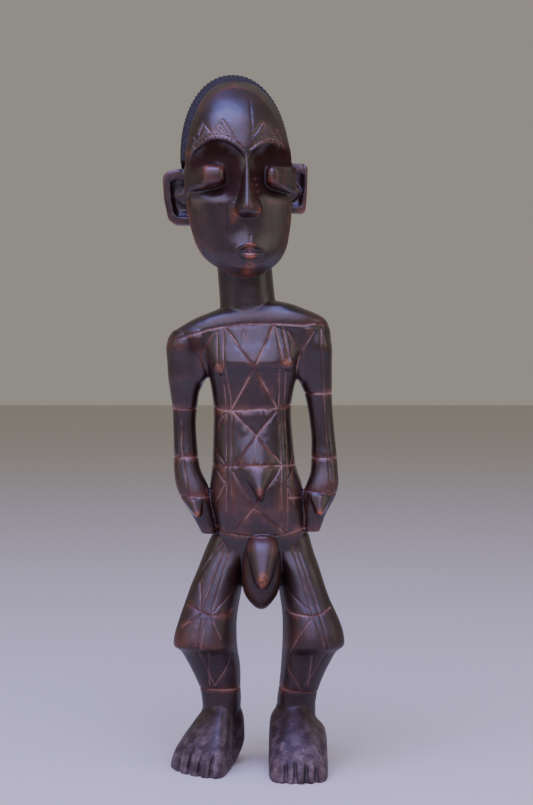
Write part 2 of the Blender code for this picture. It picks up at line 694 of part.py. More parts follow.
def surface(obj):
    """A tree for finding the body's front surface."""
    bm = bmesh.new()
    bm.from_mesh(obj.data)
    tree = BVHTree.FromBMesh(bm)
    bm.free()
    return tree


def on_front(tree, x, z):
    """The point and outward direction of the body's front at a place across and up, in millimetres."""
    spot, normal, _, _ = tree.ray_cast(Vector((x, RAY_START_Y, z)) * MM, Vector((0, 1, 0)))
    return spot / MM, normal


def incised(name, tree, run):
    """A three-sided tool that follows the front surface along a run of points."""
    spots = []
    for (x0, z0), (x1, z1) in zip(run, run[1:]):
        count = max(1, round(math.hypot(x1 - x0, z1 - z0) / LINE["step"]))
        for k in range(count):
            spots.append((x0 + (x1 - x0) * k / count, z0 + (z1 - z0) * k / count))
    spots.append(run[-1])
    found = [on_front(tree, x, z) for x, z in spots]
    rings = []
    for i, (spot, normal) in enumerate(found):
        ahead = found[min(i + 1, len(found) - 1)][0] - found[max(i - 1, 0)][0]
        side = ahead.cross(normal).normalized() * LINE["half"] * (1 + LINE["proud"] / LINE["depth"])
        outer = spot + normal * LINE["proud"]
        rings.append([outer + side, outer - side, spot - normal * LINE["depth"]])
    return skin(name, rings)


def stud(name, tree, x, z, radius, stand):
    """A small carved knob on the front, such as a nipple."""
    spot, normal = on_front(tree, x, z)
    turn = normal.to_track_quat("Z", "Y")
    rings = []
    for level, size in ((-3.0, 1.15), (0.0, 1.0), (stand * 0.7, 0.7), (stand, 0.3)):
        ring = []
        for i in range(8):
            angle = 2 * math.pi * i / 8
            ring.append(spot + turn @ Vector((math.cos(angle) * radius * size, math.sin(angle) * radius * size, level)))
        rings.append(ring)
    return skin(name, rings)


def wood():
    """The material of the whole carving."""
    material = bpy.data.materials.new("wood")
    material.use_nodes = True
    shader = material.node_tree.nodes["Principled BSDF"]
    shader.inputs["Base Color"].default_value = (0.045, 0.020, 0.016, 1.0)
    shader.inputs["Roughness"].default_value = 0.42
    shader.inputs["Metallic"].default_value = 0.0
    return material


def drop_crumbs(bm):
    """Removes the loose crumbs that crossing cuts leave, and keeps the largest body."""
    left = set(bm.verts)
    bodies = []
    while left:
        body = {left.pop()}
        edge_of_search = list(body)
        while edge_of_search:
            vert = edge_of_search.pop()
            for edge in vert.link_edges:
                other = edge.other_vert(vert)
                if other not in body:
                    body.add(other)
                    edge_of_search.append(other)
        left -= body
        bodies.append(body)
    keep = max(bodies, key=len)
    bmesh.ops.delete(bm, geom=[vert for vert in bm.verts if vert not in keep], context="VERTS")


def part_faces(bm):
    """Splits every face into triangles, with no edge shared by more than two of them."""
    bmesh.ops.triangulate(bm, faces=bm.faces)
    for edge in [edge for edge in bm.edges if len(edge.link_faces) > 2]:
        start, end = edge.verts
        middle = (start.co + end.co) / 2
        runs = {loop.face: loop.vert for loop in edge.link_loops}
        first = edge.link_faces[0]
        facing = [face for face in runs if runs[face] != runs[first]]
        second = max(facing, key=lambda face: face.normal.dot(first.normal))
        tip = next(v for v in first.verts if v not in edge.verts)
        spot = bm.verts.new(middle + (tip.co - middle) * 0.2)
        for face in (first, second):
            corners = list(face.verts)
            for corner in (start, end):
                bm.faces.new([spot if v == corner else v for v in corners])
        bmesh.ops.delete(bm, geom=[first, second], context="FACES_ONLY")


def settle(obj):
    """Cleans the body, sets it over the origin and shades it smooth between its sharp edges."""
    bm = bmesh.new()
    bm.from_mesh(obj.data)
    bmesh.ops.remove_doubles(bm, verts=bm.verts, dist=MERGE)
    drop_crumbs(bm)
    part_faces(bm)
    lows = [min(v.co[axis] for v in bm.verts) for axis in range(3)]
    highs = [max(v.co[axis] for v in bm.verts) for axis in range(3)]
    offset = Vector((-(lows[0] + highs[0]) / 2, -(lows[1] + highs[1]) / 2, -lows[2]))
    bmesh.ops.translate(bm, vec=offset, verts=bm.verts)
    bm.to_mesh(obj.data)
    bm.free()
    obj.data.shade_smooth()
    obj.data.set_sharp_from_angle(angle=math.radians(32))


def main():
    clear_scene()
    body = column("carved_figure", TORSO, AROUND_TORSO, (2.6, 2.5), cuts=TORSO_RINGS)
    join(body, column("belly", BELLY, AROUND_LEG, (2.0, 2.0)))
    join(body, *[column("armpit", keys, AROUND_ARM) for keys in ARMPITS])
    join(body, column("shoulders", SHOULDERS, AROUND_TORSO, (2.6, 2.6)))
    join(body, column("neck", NECK, AROUND_LEG, (2.0, 2.0)))
    join(body, column("left_arm", LEFT_ARM, AROUND_ARM, cuts=LEFT_ARM_RINGS))
    join(body, column("right_arm", RIGHT_ARM, AROUND_ARM, cuts=RIGHT_ARM_RINGS))
    join(body, column("left_leg", LEFT_LEG, AROUND_LEG, (2.6, 2.3), -LEG_TURN, LEFT_LEG_RINGS))
    join(body, column("right_leg", RIGHT_LEG, AROUND_LEG, (2.6, 2.3), LEG_TURN, RIGHT_LEG_RINGS))
    tree = surface(body)
    for run in FRONT_LINES:
        cut(body, incised("line", tree, run))
    for x, z in NIPPLES:
        join(body, stud("nipple", tree, x, z, **NIPPLE))
    join(body, hull("left_thumb", LEFT_THUMB), hull("right_thumb", RIGHT_THUMB))
    join(body, column("scrotum", SCROTUM, AROUND_SMALL), column("shaft", SHAFT, AROUND_SMALL))
    for spec in (LEFT_FOOT, RIGHT_FOOT):
        join(body, cut(foot("foot", spec), *toe_cuts("toe_cut", spec)))
    join(body, build_head())
    body.data.materials.clear()
    body.data.materials.append(wood())
    settle(body)


main()
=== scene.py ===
"""Dresses the carved standing figure: its finished surface, incised lines, waxed wood, stage and camera.

The carving is one piece of wood, so it is one piece here too. It is built from level sections as the
solid is, but finer, drawn together into one skin, carved with its incised lines, and then marked with
what the finish needs to know: where a line was cut, where hands have worn it, and where the hair is.
Drawn lengths are millimetres; +X is the viewer's right, the figure looks along -Y, the soles are at Z = 0.
"""

import logging
import math
from collections.abc import Sequence
from dataclasses import dataclass, field
from enum import Enum

import bmesh
import bpy
from mathutils import Matrix, Vector
from mathutils.bvhtree import BVHTree


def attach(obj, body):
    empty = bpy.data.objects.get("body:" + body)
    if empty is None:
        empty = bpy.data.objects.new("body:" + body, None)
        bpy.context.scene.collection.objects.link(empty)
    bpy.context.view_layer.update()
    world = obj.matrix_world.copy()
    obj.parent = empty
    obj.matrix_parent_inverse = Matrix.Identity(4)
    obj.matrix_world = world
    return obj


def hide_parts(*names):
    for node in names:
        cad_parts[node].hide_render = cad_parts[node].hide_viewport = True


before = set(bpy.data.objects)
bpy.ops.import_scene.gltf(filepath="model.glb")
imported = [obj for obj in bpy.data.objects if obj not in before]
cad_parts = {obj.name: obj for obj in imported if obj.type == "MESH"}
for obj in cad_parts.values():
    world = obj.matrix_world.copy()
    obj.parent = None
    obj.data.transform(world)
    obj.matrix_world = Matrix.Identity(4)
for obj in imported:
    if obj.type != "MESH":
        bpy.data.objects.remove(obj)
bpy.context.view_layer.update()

LOG = logging.getLogger("carved_figure")

# Drawn millimetres to metres, and where the drawing's origin lies in the frame
MM = 0.001
DRAWING_ORIGIN = Vector((-0.4, 12.5, 0.0))

Point = tuple[float, float]
Spot = tuple[float, float, float]
Section = tuple[float, float, float, float, float, float]
Body = bpy.types.Object
Socket = bpy.types.NodeSocket

# How a mark is stored: as one number on each point
POINT_NUMBER = {"data_type": "FLOAT", "domain": "POINT"}


class Cut(Enum):
    """How deep and how broad a cut is, in millimetres, and how much pale dust it holds."""

    BOLD = (1.25, 1.15, 1.0)
    FINE = (0.95, 0.90, 0.6)
    SCRATCH = (0.65, 0.70, 0.4)
    CRACK = (0.45, 0.60, 0.0)


def between(a: float, b: float, c: float, d: float, t: float) -> float:
    """Gives a value on a smooth curve, in the manner of Catmull and Rom.

    Args:
        a: the number before the two.
        b: the number at the start.
        c: the number at the end.
        d: the number after the two.
        t: how far to go from the start to the end.

    Returns:
        The value on the curve.
    """
    bend = (2 * a - 5 * b + 4 * c - d) * t * t
    return 0.5 * (2 * b + (c - a) * t + bend + (3 * b - a - 3 * c + d) * t**3)


def spread(keys: Sequence[tuple], steps: int) -> list[list[float]]:
    """Draws a smooth curve through rows of numbers.

    Args:
        keys: the rows that the curve passes through.
        steps: how many rows to make from each key to the next.

    Returns:
        The rows along the curve, the last key included.
    """
    rows = []
    last = len(keys) - 1
    for i in range(last):
        near = (keys[max(i - 1, 0)], keys[i], keys[i + 1], keys[min(i + 2, last)])
        for k in range(steps):
            rows.append([between(*numbers, k / steps) for numbers in zip(*near)])
    rows.append([float(value) for value in keys[last]])
    return rows


def lookup(rows: Sequence[tuple], level: float) -> tuple:
    """Reads a table between its rows.

    Args:
        rows: the table, whose first column rises.
        level: the value of the first column to read at.

    Returns:
        The row at that level, by straight interpolation.
    """
    if level <= rows[0][0]:
        return rows[0]
    for low, high in zip(rows, rows[1:]):
        if level <= high[0]:
            t = (level - low[0]) / (high[0] - low[0])
            return tuple(a + (b - a) * t for a, b in zip(low, high))
    return rows[-1]


def oval(angle: float, half_width: float, half_depth: float, power: float) -> Point:
    """Gives a point on an oval that grows squarer as its power rises above 2.

    Args:
        angle: the angle round the oval, in radians.
        half_width: its reach along the first axis.
        half_depth: its reach along the second axis.
        power: its squareness.

    Returns:
        The point's two coordinates.
    """
    c, s = math.cos(angle), math.sin(angle)
    return (
        half_width * math.copysign(abs(c) ** (2 / power), c),
        half_depth * math.copysign(abs(s) ** (2 / power), s),
    )


def put_in_scene(name: str, bm: bmesh.types.BMesh) -> Body:
    """Turns geometry into an object of the scene, as it is.

    Args:
        name: the object's name.
        bm: the geometry, in metres, which is freed.

    Returns:
        The object.
    """
    mesh = bpy.data.meshes.new(name)
    bm.to_mesh(mesh)
    bm.free()
    obj = bpy.data.objects.new(name, mesh)
    bpy.context.scene.collection.objects.link(obj)
    return obj


def solid(name: str, bm: bmesh.types.BMesh) -> Body:
    """Turns drawn geometry into an object in the frame, with its faces pointing out.

    Args:
        name: the object's name.
        bm: the drawn geometry, in millimetres, which is freed.

    Returns:
        The object, with its place in its mesh.
    """
    bmesh.ops.recalc_face_normals(bm, faces=bm.faces)
    bmesh.ops.translate(bm, vec=DRAWING_ORIGIN, verts=bm.verts)
    bmesh.ops.scale(bm, vec=(MM, MM, MM), verts=bm.verts)
    return put_in_scene(name, bm)


def skin(name: str, rings: list[list[Spot]]) -> Body:
    """Makes a closed body through rings of equal count, with a flat face at each end.

    Args:
        name: the object's name.
        rings: the rings of points, from one end to the other.

    Returns:
        The body.
    """
    bm = bmesh.new()
    loops = [[bm.verts.new(point) for point in ring] for ring in rings]
    for low, high in zip(loops, loops[1:]):
        for i in range(len(low)):
            j = (i + 1) % len(low)
            bm.faces.new((low[i], low[j], high[j], high[i]))
    bm.faces.new(loops[0])
    bm.faces.new(loops[-1])
    return solid(name, bm)


def wedge(name: str, points: list[Spot], round_off: float = 0.0) -> Body:
    """Makes the tight body round a few points, as a chisel leaves it.

    Args:
        name: the object's name.
        points: the corners.
        round_off: how broadly its edges are rounded, in millimetres.

    Returns:
        The body.
    """
    bm = bmesh.new()
    for point in points:
        bm.verts.new(point)
    found = bmesh.ops.convex_hull(bm, input=bm.verts)
    loose = found["geom_interior"] + found["geom_unused"]
    spare = {item for item in loose if isinstance(item, bmesh.types.BMVert)}
    bmesh.ops.delete(bm, geom=list(spare), context="VERTS")
    if round_off:
        shape = {"segments": 3, "profile": 0.5, "affect": "EDGES", "clamp_overlap": True}
        bmesh.ops.bevel(bm, geom=bm.edges[:], offset=round_off, **shape)
    return solid(name, bm)


def column(
    name: str,
    keys: Sequence[Section],
    around: int,
    steps: int,
    power: Point = (2.2, 2.2),
    turn: float = 0.0,
) -> Body:
    """Makes a body of level sections, such as a torso or a limb.

    Args:
        name: the object's name.
        keys: height, centre x, centre y, half width, reach to the front and reach to the back.
        around: how many points go round.
        steps: how many rings lie from each key to the next.
        power: how square the front and the back are.
        turn: how far the sections turn about the vertical, in radians.

    Returns:
        The body.
    """
    swing = Matrix.Rotation(turn, 3, "Z")
    rings = []
    for z, x, y, half_width, front, back in spread(keys, steps):
        ring = []
        for i in range(around):
            angle = 2 * math.pi * i / around
            at_front = math.sin(angle) < 0
            reach, square = (front, power[0]) if at_front else (back, power[1])
            px, py = oval(angle, half_width, reach, square)
            ring.append(tuple(Vector((x, y, z)) + swing @ Vector((px, py, 0))))
        rings.append(ring)
    return skin(name, rings)


def apply_modifiers(obj: Body) -> Body:
    """Turns an object's modifiers into its mesh, and takes them off.

    Args:
        obj: the object.

    Returns:
        The same object, with a plain mesh.
    """
    bpy.context.view_layer.update()
    graph = bpy.context.evaluated_depsgraph_get()
    mesh = bpy.data.meshes.new_from_object(obj.evaluated_get(graph))
    obj.modifiers.clear()
    obj.data = mesh
    return obj


def cut_away(target: Body, *tools: Body) -> Body:
    """Cuts the shape of each tool out of a body, and removes the tools.

    Args:
        target: the body.
        tools: the tools, closed bodies themselves.

    Returns:
        The body.
    """
    for tool in tools:
        modifier = target.modifiers.new("Cut", "BOOLEAN")
        modifier.operation = "DIFFERENCE"
        modifier.object = tool
        apply_modifiers(target)
        bpy.data.objects.remove(tool)
    return target


@dataclass
class Trunk:
    """The torso, the sloping shoulder plate and the neck."""

    torso: tuple[Section, ...] = (
        (180, 7.0, 2, 15.0, 16, 20), (196, 7.0, 3, 26.0, 24, 36), (214, 7.0, 3, 36.0, 29, 43),
        (234, 8.0, 2, 44.5, 34, 45), (256, 5.5, 0, 45.5, 38, 33), (268, 4.1, 0, 46.0, 39.5, 27),
        (284, 3.0, 0, 46.0, 39.5, 23), (303, 1.0, 0, 41.9, 37, 22), (330, 0.0, 0, 39.8, 32, 25),
        (359, -0.7, 0, 38.7, 29, 29), (381, -0.4, 0, 41.5, 30, 32), (390, 0.0, 0, 43.8, 31, 34),
        (396, 0.0, 0, 45.2, 33.2, 34), (401, 0.0, 0, 46.8, 36.4, 34), (406, 0.0, 0, 48.2, 38.4, 34),
        (416, 0.0, 0, 51.0, 35.2, 34), (428, -1.0, 0, 54.0, 30.2, 33), (444, -2.0, 0, 57.0, 25.5, 30),
    )
    shoulders: tuple[Section, ...] = (
        (423, -4.2, 1, 82.6, 19, 21), (430, -3.4, 1, 81.6, 22.5, 24), (436, -1.8, 1, 79.3, 25.0, 26),
        (442, 2.0, 1, 74.0, 26.6, 28), (449.5, 6.5, 1.5, 65.6, 26.8, 28), (455, 8.6, 2, 54.5, 26.0, 27),
        (460, 8.6, 3, 42.0, 24.5, 24), (464, 8.6, 4, 32.0, 22.5, 21), (467, 8.0, 5, 20, 17, 14),
        (468.3, 7.0, 5, 10.0, 9, 8),
    )
    neck: tuple[Section, ...] = (
        (455, -4.5, 2, 28.4, 25, 27), (468, -5.5, 2, 27.8, 24.5, 26), (490, -7.5, 2, 27.4, 24.5, 27),
        (516, -9.5, 2, 27.4, 25, 29), (543, -12.0, 2, 27.4, 27, 33), (562, -13.0, 2, 25.0, 27, 34),
    )
    armpits: tuple[list[Section], list[Section]] = (
        [
            (384, -54.0, 1, 2.0, 10, 10), (389, -53.0, 1, 6.0, 15, 15), (396, -52.0, 1, 10.0, 18.5, 18),
            (410, -52.0, 1, 15.0, 21, 20), (424, -54.0, 1, 17.5, 22.5, 22), (438, -56.0, 1, 19.0, 23, 23),
        ],
        [
            (385, 50.5, 1, 2.0, 10, 10), (390, 49.5, 1, 6.0, 15, 15), (397, 48.5, 1, 10.0, 18.5, 18),
            (410, 48.5, 1, 14.0, 21, 20), (424, 50.0, 1, 16.5, 22.5, 22), (440, 52.0, 1, 18.0, 23, 23),
        ],
    )
    belly: tuple[Section, ...] = (
        (262, 7.0, -10, 12.0, 24, 5), (267, 7.0, -10, 10.0, 28, 5), (271, 7.0, -10, 8.5, 33, 5),
        (274.5, 7.0, -10, 7.4, 38.2, 5), (277.5, 7.0, -10, 7.2, 41.4, 5), (281, 6.8, -10, 10.2, 41.2, 5),
        (289, 6.0, -10, 18.0, 38.2, 5), (297, 4.6, -10, 25.0, 35.2, 5), (305, 3.0, -10, 29.5, 32.2, 5),
        (318, 1.6, -10, 32.0, 27.6, 5), (332, 1.0, -10, 30.0, 22.6, 5), (346, 0.8, -10, 28.0, 18.0, 5),
    )
    nipples: tuple[Spot, Spot] = ((-32.1, -31.2, 401.0), (33.6, -31.3, 405.8))
    # How far a nipple stands in front of its place, and how wide it is there
    stud_profile: tuple[Point, ...] = ((-5.0, 8.0), (-2.0, 6.4), (-0.2, 4.2), (1.0, 2.4), (1.6, 0.9))
    stud_around: int = 20

    def stud(self, spot: Spot) -> Body:
        """Makes a nipple: a small blunt cone that points forward.

        Args:
            spot: its place on the drawing.

        Returns:
            The cone.
        """
        x, y, z = spot
        turns = [2 * math.pi * i / self.stud_around for i in range(self.stud_around)]
        rings = [
            [(x + radius * math.cos(t), y - forward, z + radius * math.sin(t)) for t in turns]
            for forward, radius in self.stud_profile
        ]
        return skin("nipple", rings)

    def build(self) -> list[Body]:
        """Builds the torso with its ridged belly, the armpits, the shoulder plate and the neck."""
        return [
            column("torso", self.torso, around=72, steps=4, power=(2.6, 2.5)),
            column("shoulders", self.shoulders, around=72, steps=3, power=(2.6, 2.6)),
            column("neck", self.neck, around=48, steps=3, power=(2.0, 2.0)),
            column("belly_ridge", self.belly, around=48, steps=3, power=(2.0, 2.0)),
            *[self.stud(spot) for spot in self.nipples],
            *[column("armpit", keys, around=40, steps=3) for keys in self.armpits],
        ]


@dataclass
class Arm:
    """An arm with its hand and the thumb that stands proud of it."""

    name: str
    sections: Sequence[Section]
    thumb: Sequence[Spot]
    thumb_edge: float = 1.2

    def build(self) -> list[Body]:
        """Builds the arm and the thumb."""
        arm = column(self.name, self.sections, around=40, steps=3)
        return [arm, wedge(self.name + "_thumb", self.thumb, self.thumb_edge)]


@dataclass
class Leg:
    """A leg, from the hip to the ankle, with its knee turned outward."""

    name: str
    sections: Sequence[Section]
    turn: float

    def build(self) -> list[Body]:
        """Builds the leg."""
        return [column(self.name, self.sections, around=48, steps=3, power=(2.6, 2.3), turn=self.turn)]


@dataclass
class Foot:
    """A broad carved foot: an upright edge round the sole, and a back that falls away to the toes."""

    name: str
    ankle: Point
    sole: Sequence[Point]
    # Heights at which the back meets the ankle: at the viewer's right, behind, at the left and in front
    heights: tuple[float, float, float, float]
    gaps: Sequence[Point]
    gap_turn: float = 0.0
    flare: float = 0.0
    flare_towards: float = 0.0
    flare_level: float = 30.0
    ankle_radius: float = 19.5
    toe_height: float = 16.0
    least_fall: float = 50.0
    edge_power: float = 9.0
    around: int = 144
    levels: tuple[float, ...] = (
        0, 0.8, 2, 4, 7, 10, 13, 16, 19, 22, 25, 28, 31, 34, 38, 42, 46, 50, 54, 58, 63,
    )
    # The lowest edge of the sole is eased in: from which height down, and how steeply
    ease_level: float = 2.0
    ease_slope: float = 0.6
    # A cut between two toes, seen from the side: how far in from the front, and the height
    gap_side: tuple[Point, ...] = ((-8, -5), (4.0, -5), (13.0, 27), (13.0, 40), (-8, 40))
    gap_halves: Point = (4.2, 0.8)
    # Over how many points of the outline the fall of the back is evened out, each way
    evening: int = 10
    # How nearly level with the look an edge may run, and how far past its ends it may be met
    least_cross: float = 1e-9
    slack: float = 0.001

    def sole_reach(self, angle: float) -> float:
        """Finds how far the sole's edge lies from the ankle's middle.

        Args:
            angle: the way to look, in radians from +X.

        Returns:
            The distance in millimetres.
        """
        way = (math.cos(angle), math.sin(angle))
        best = self.ankle_radius
        for (ax, ay), (bx, by) in zip(self.sole, self.sole[1:] + self.sole[:1]):
            ax, ay, bx, by = ax - self.ankle[0], ay - self.ankle[1], bx - self.ankle[0], by - self.ankle[1]
            cross = way[0] * (by - ay) - way[1] * (bx - ax)
            if abs(cross) < self.least_cross:
                continue
            reach = (ax * (by - ay) - ay * (bx - ax)) / cross
            share = (ax * way[1] - ay * way[0]) / cross
            if reach > 0 and -self.slack <= share <= 1 + self.slack:
                best = reach
        return best

    def ring(self, level: float, edges: list[float], falls: list[float]) -> list[Spot]:
        """Places the foot's outline at a level.

        Args:
            level: the height above the ground.
            edges: the sole's reach at each angle.
            falls: how far out the back has come down to the toes' height, at each angle.

        Returns:
            The outline's points.
        """
        points = []
        for i, (edge, fall) in enumerate(zip(edges, falls)):
            angle = 2 * math.pi * i / self.around
            swell = self.flare * max(0.0, math.cos(angle - self.flare_towards)) ** 2
            side = edge + swell * math.sin(min(1.0, level / self.flare_level) * math.pi / 2)
            side -= max(0.0, self.ease_level - level) * self.ease_slope
            shares = [max(0.0, math.cos(angle - k * math.pi / 2)) ** 2 for k in range(4)]
            top = sum(share * height for share, height in zip(shares, self.heights))
            slope = (fall - self.ankle_radius) / (top - self.toe_height)
            back = self.ankle_radius + slope * max(0.0, top - level)
            reach = (side**-self.edge_power + back**-self.edge_power) ** (-1 / self.edge_power)
            x, y = self.ankle[0] + reach * math.cos(angle), self.ankle[1] + reach * math.sin(angle)
            points.append((x, y, level))
        return points

    def gap_tools(self) -> list[Body]:
        """Makes the wedges that part the toes.

        Returns:
            One wedge for each gap.
        """
        swing = Matrix.Rotation(self.gap_turn, 2)
        first, last = self.gap_side[0][0], self.gap_side[2][0]
        tools = []
        for gap_x, gap_y in self.gaps:
            points = []
            for along, z in self.gap_side:
                share = (along - first) / (last - first)
                half = self.gap_halves[0] + (self.gap_halves[1] - self.gap_halves[0]) * share
                for across in (-half, half):
                    spot = swing @ Vector((across, along))
                    points.append((gap_x + spot.x, gap_y + spot.y, z))
            tools.append(wedge("toe_gap", points))
        return tools

    def build(self) -> list[Body]:
        """Builds the foot and parts its toes.

        Returns:
            The foot, as the only form of the list.
        """
        rounded = spread([*self.sole, self.sole[0]], 4)
        self.sole = [(x, y) for x, y in rounded[:-1]]
        edges = [self.sole_reach(2 * math.pi * i / self.around) for i in range(self.around)]
        nearby = range(-self.evening, self.evening + 1)
        evened = [
            sum(max(edges[(i + k) % self.around], self.least_fall) for k in nearby) / len(nearby)
            for i in range(self.around)
        ]
        falls = [max(even, edge) for even, edge in zip(evened, edges)]
        rings = [self.ring(level, edges, falls) for level in self.levels]
        return [cut_away(skin(self.name, rings), *self.gap_tools())]


@dataclass
class Loins:
    """The sex, carved as a hanging half-round with its pouch behind."""

    shaft: tuple[Section, ...] = (
        (237, 9.4, -26, 5.0, 4, 8), (234, 9.5, -29, 11.4, 9.5, 10), (229, 9.7, -32, 15.0, 13.5, 12),
        (222, 9.8, -35, 15.8, 15.5, 14), (214, 9.8, -38, 14.4, 16, 14), (206, 9.8, -41, 12.6, 16.5, 16),
        (199, 9.8, -43.5, 11.0, 16.5, 16), (193, 9.7, -46, 8.8, 15.5, 15), (188, 9.6, -48, 6.0, 12, 12),
        (184.6, 9.6, -49, 3.0, 7, 8),
    )
    pouch: tuple[Section, ...] = (
        (230, 9.0, -24, 12.0, 8, 20), (222, 9.0, -26, 16.4, 14, 20), (210, 9.0, -27, 18.4, 18, 24),
        (196, 8.6, -27, 19.2, 20, 26), (185, 8.2, -26, 18.6, 20, 26), (176, 8.0, -25, 15.8, 18, 22),
        (169, 8.0, -24, 11.2, 14, 18), (163.5, 8.2, -22, 6.2, 9, 11), (161.2, 8.4, -20, 2.4, 4, 5),
    )

    def build(self) -> list[Body]:
        """Builds both forms."""
        forms = {"shaft": self.shaft, "pouch": self.pouch}
        return [column(name, keys, around=32, steps=3) for name, keys in forms.items()]


@dataclass
class Ear:
    """A block ear with a hollow and an inner peg."""

    name: str
    outline: Sequence[Point]
    hollow: Sequence[Point]
    peg: Sequence[Spot]
    near: float = -8.0
    far: float = 13.0
    floor: float = -3.2
    taper: float = 0.64
    edge: float = 2.0
    peg_edge: float = 1.5
    # The hollow runs straight from well in front of the ear to a little inside it, then narrows to its floor
    clear: float = 20.0
    straight: float = 1.0

    def build(self) -> list[Body]:
        """Builds the ear, hollows it and sets the inner peg in the hollow.

        Returns:
            The hollowed block and the peg.
        """
        points = [(x, y, z) for x, z in self.outline for y in (self.near, self.far)]
        block = wedge(self.name, points, self.edge)
        middle_x = sum(x for x, _ in self.hollow) / len(self.hollow)
        middle_z = sum(z for _, z in self.hollow) / len(self.hollow)
        levels = ((self.near - self.clear, 1.0), (self.near + self.straight, 1.0), (self.floor, self.taper))
        rings = []
        for level, grow in levels:
            sides = [(x - middle_x, z - middle_z) for x, z in self.hollow]
            rings.append([(middle_x + x * grow, level, middle_z + z * grow) for x, z in sides])
        cut_away(block, skin("hollow", rings))
        return [block, wedge(self.name + "_peg", self.peg, self.peg_edge)]


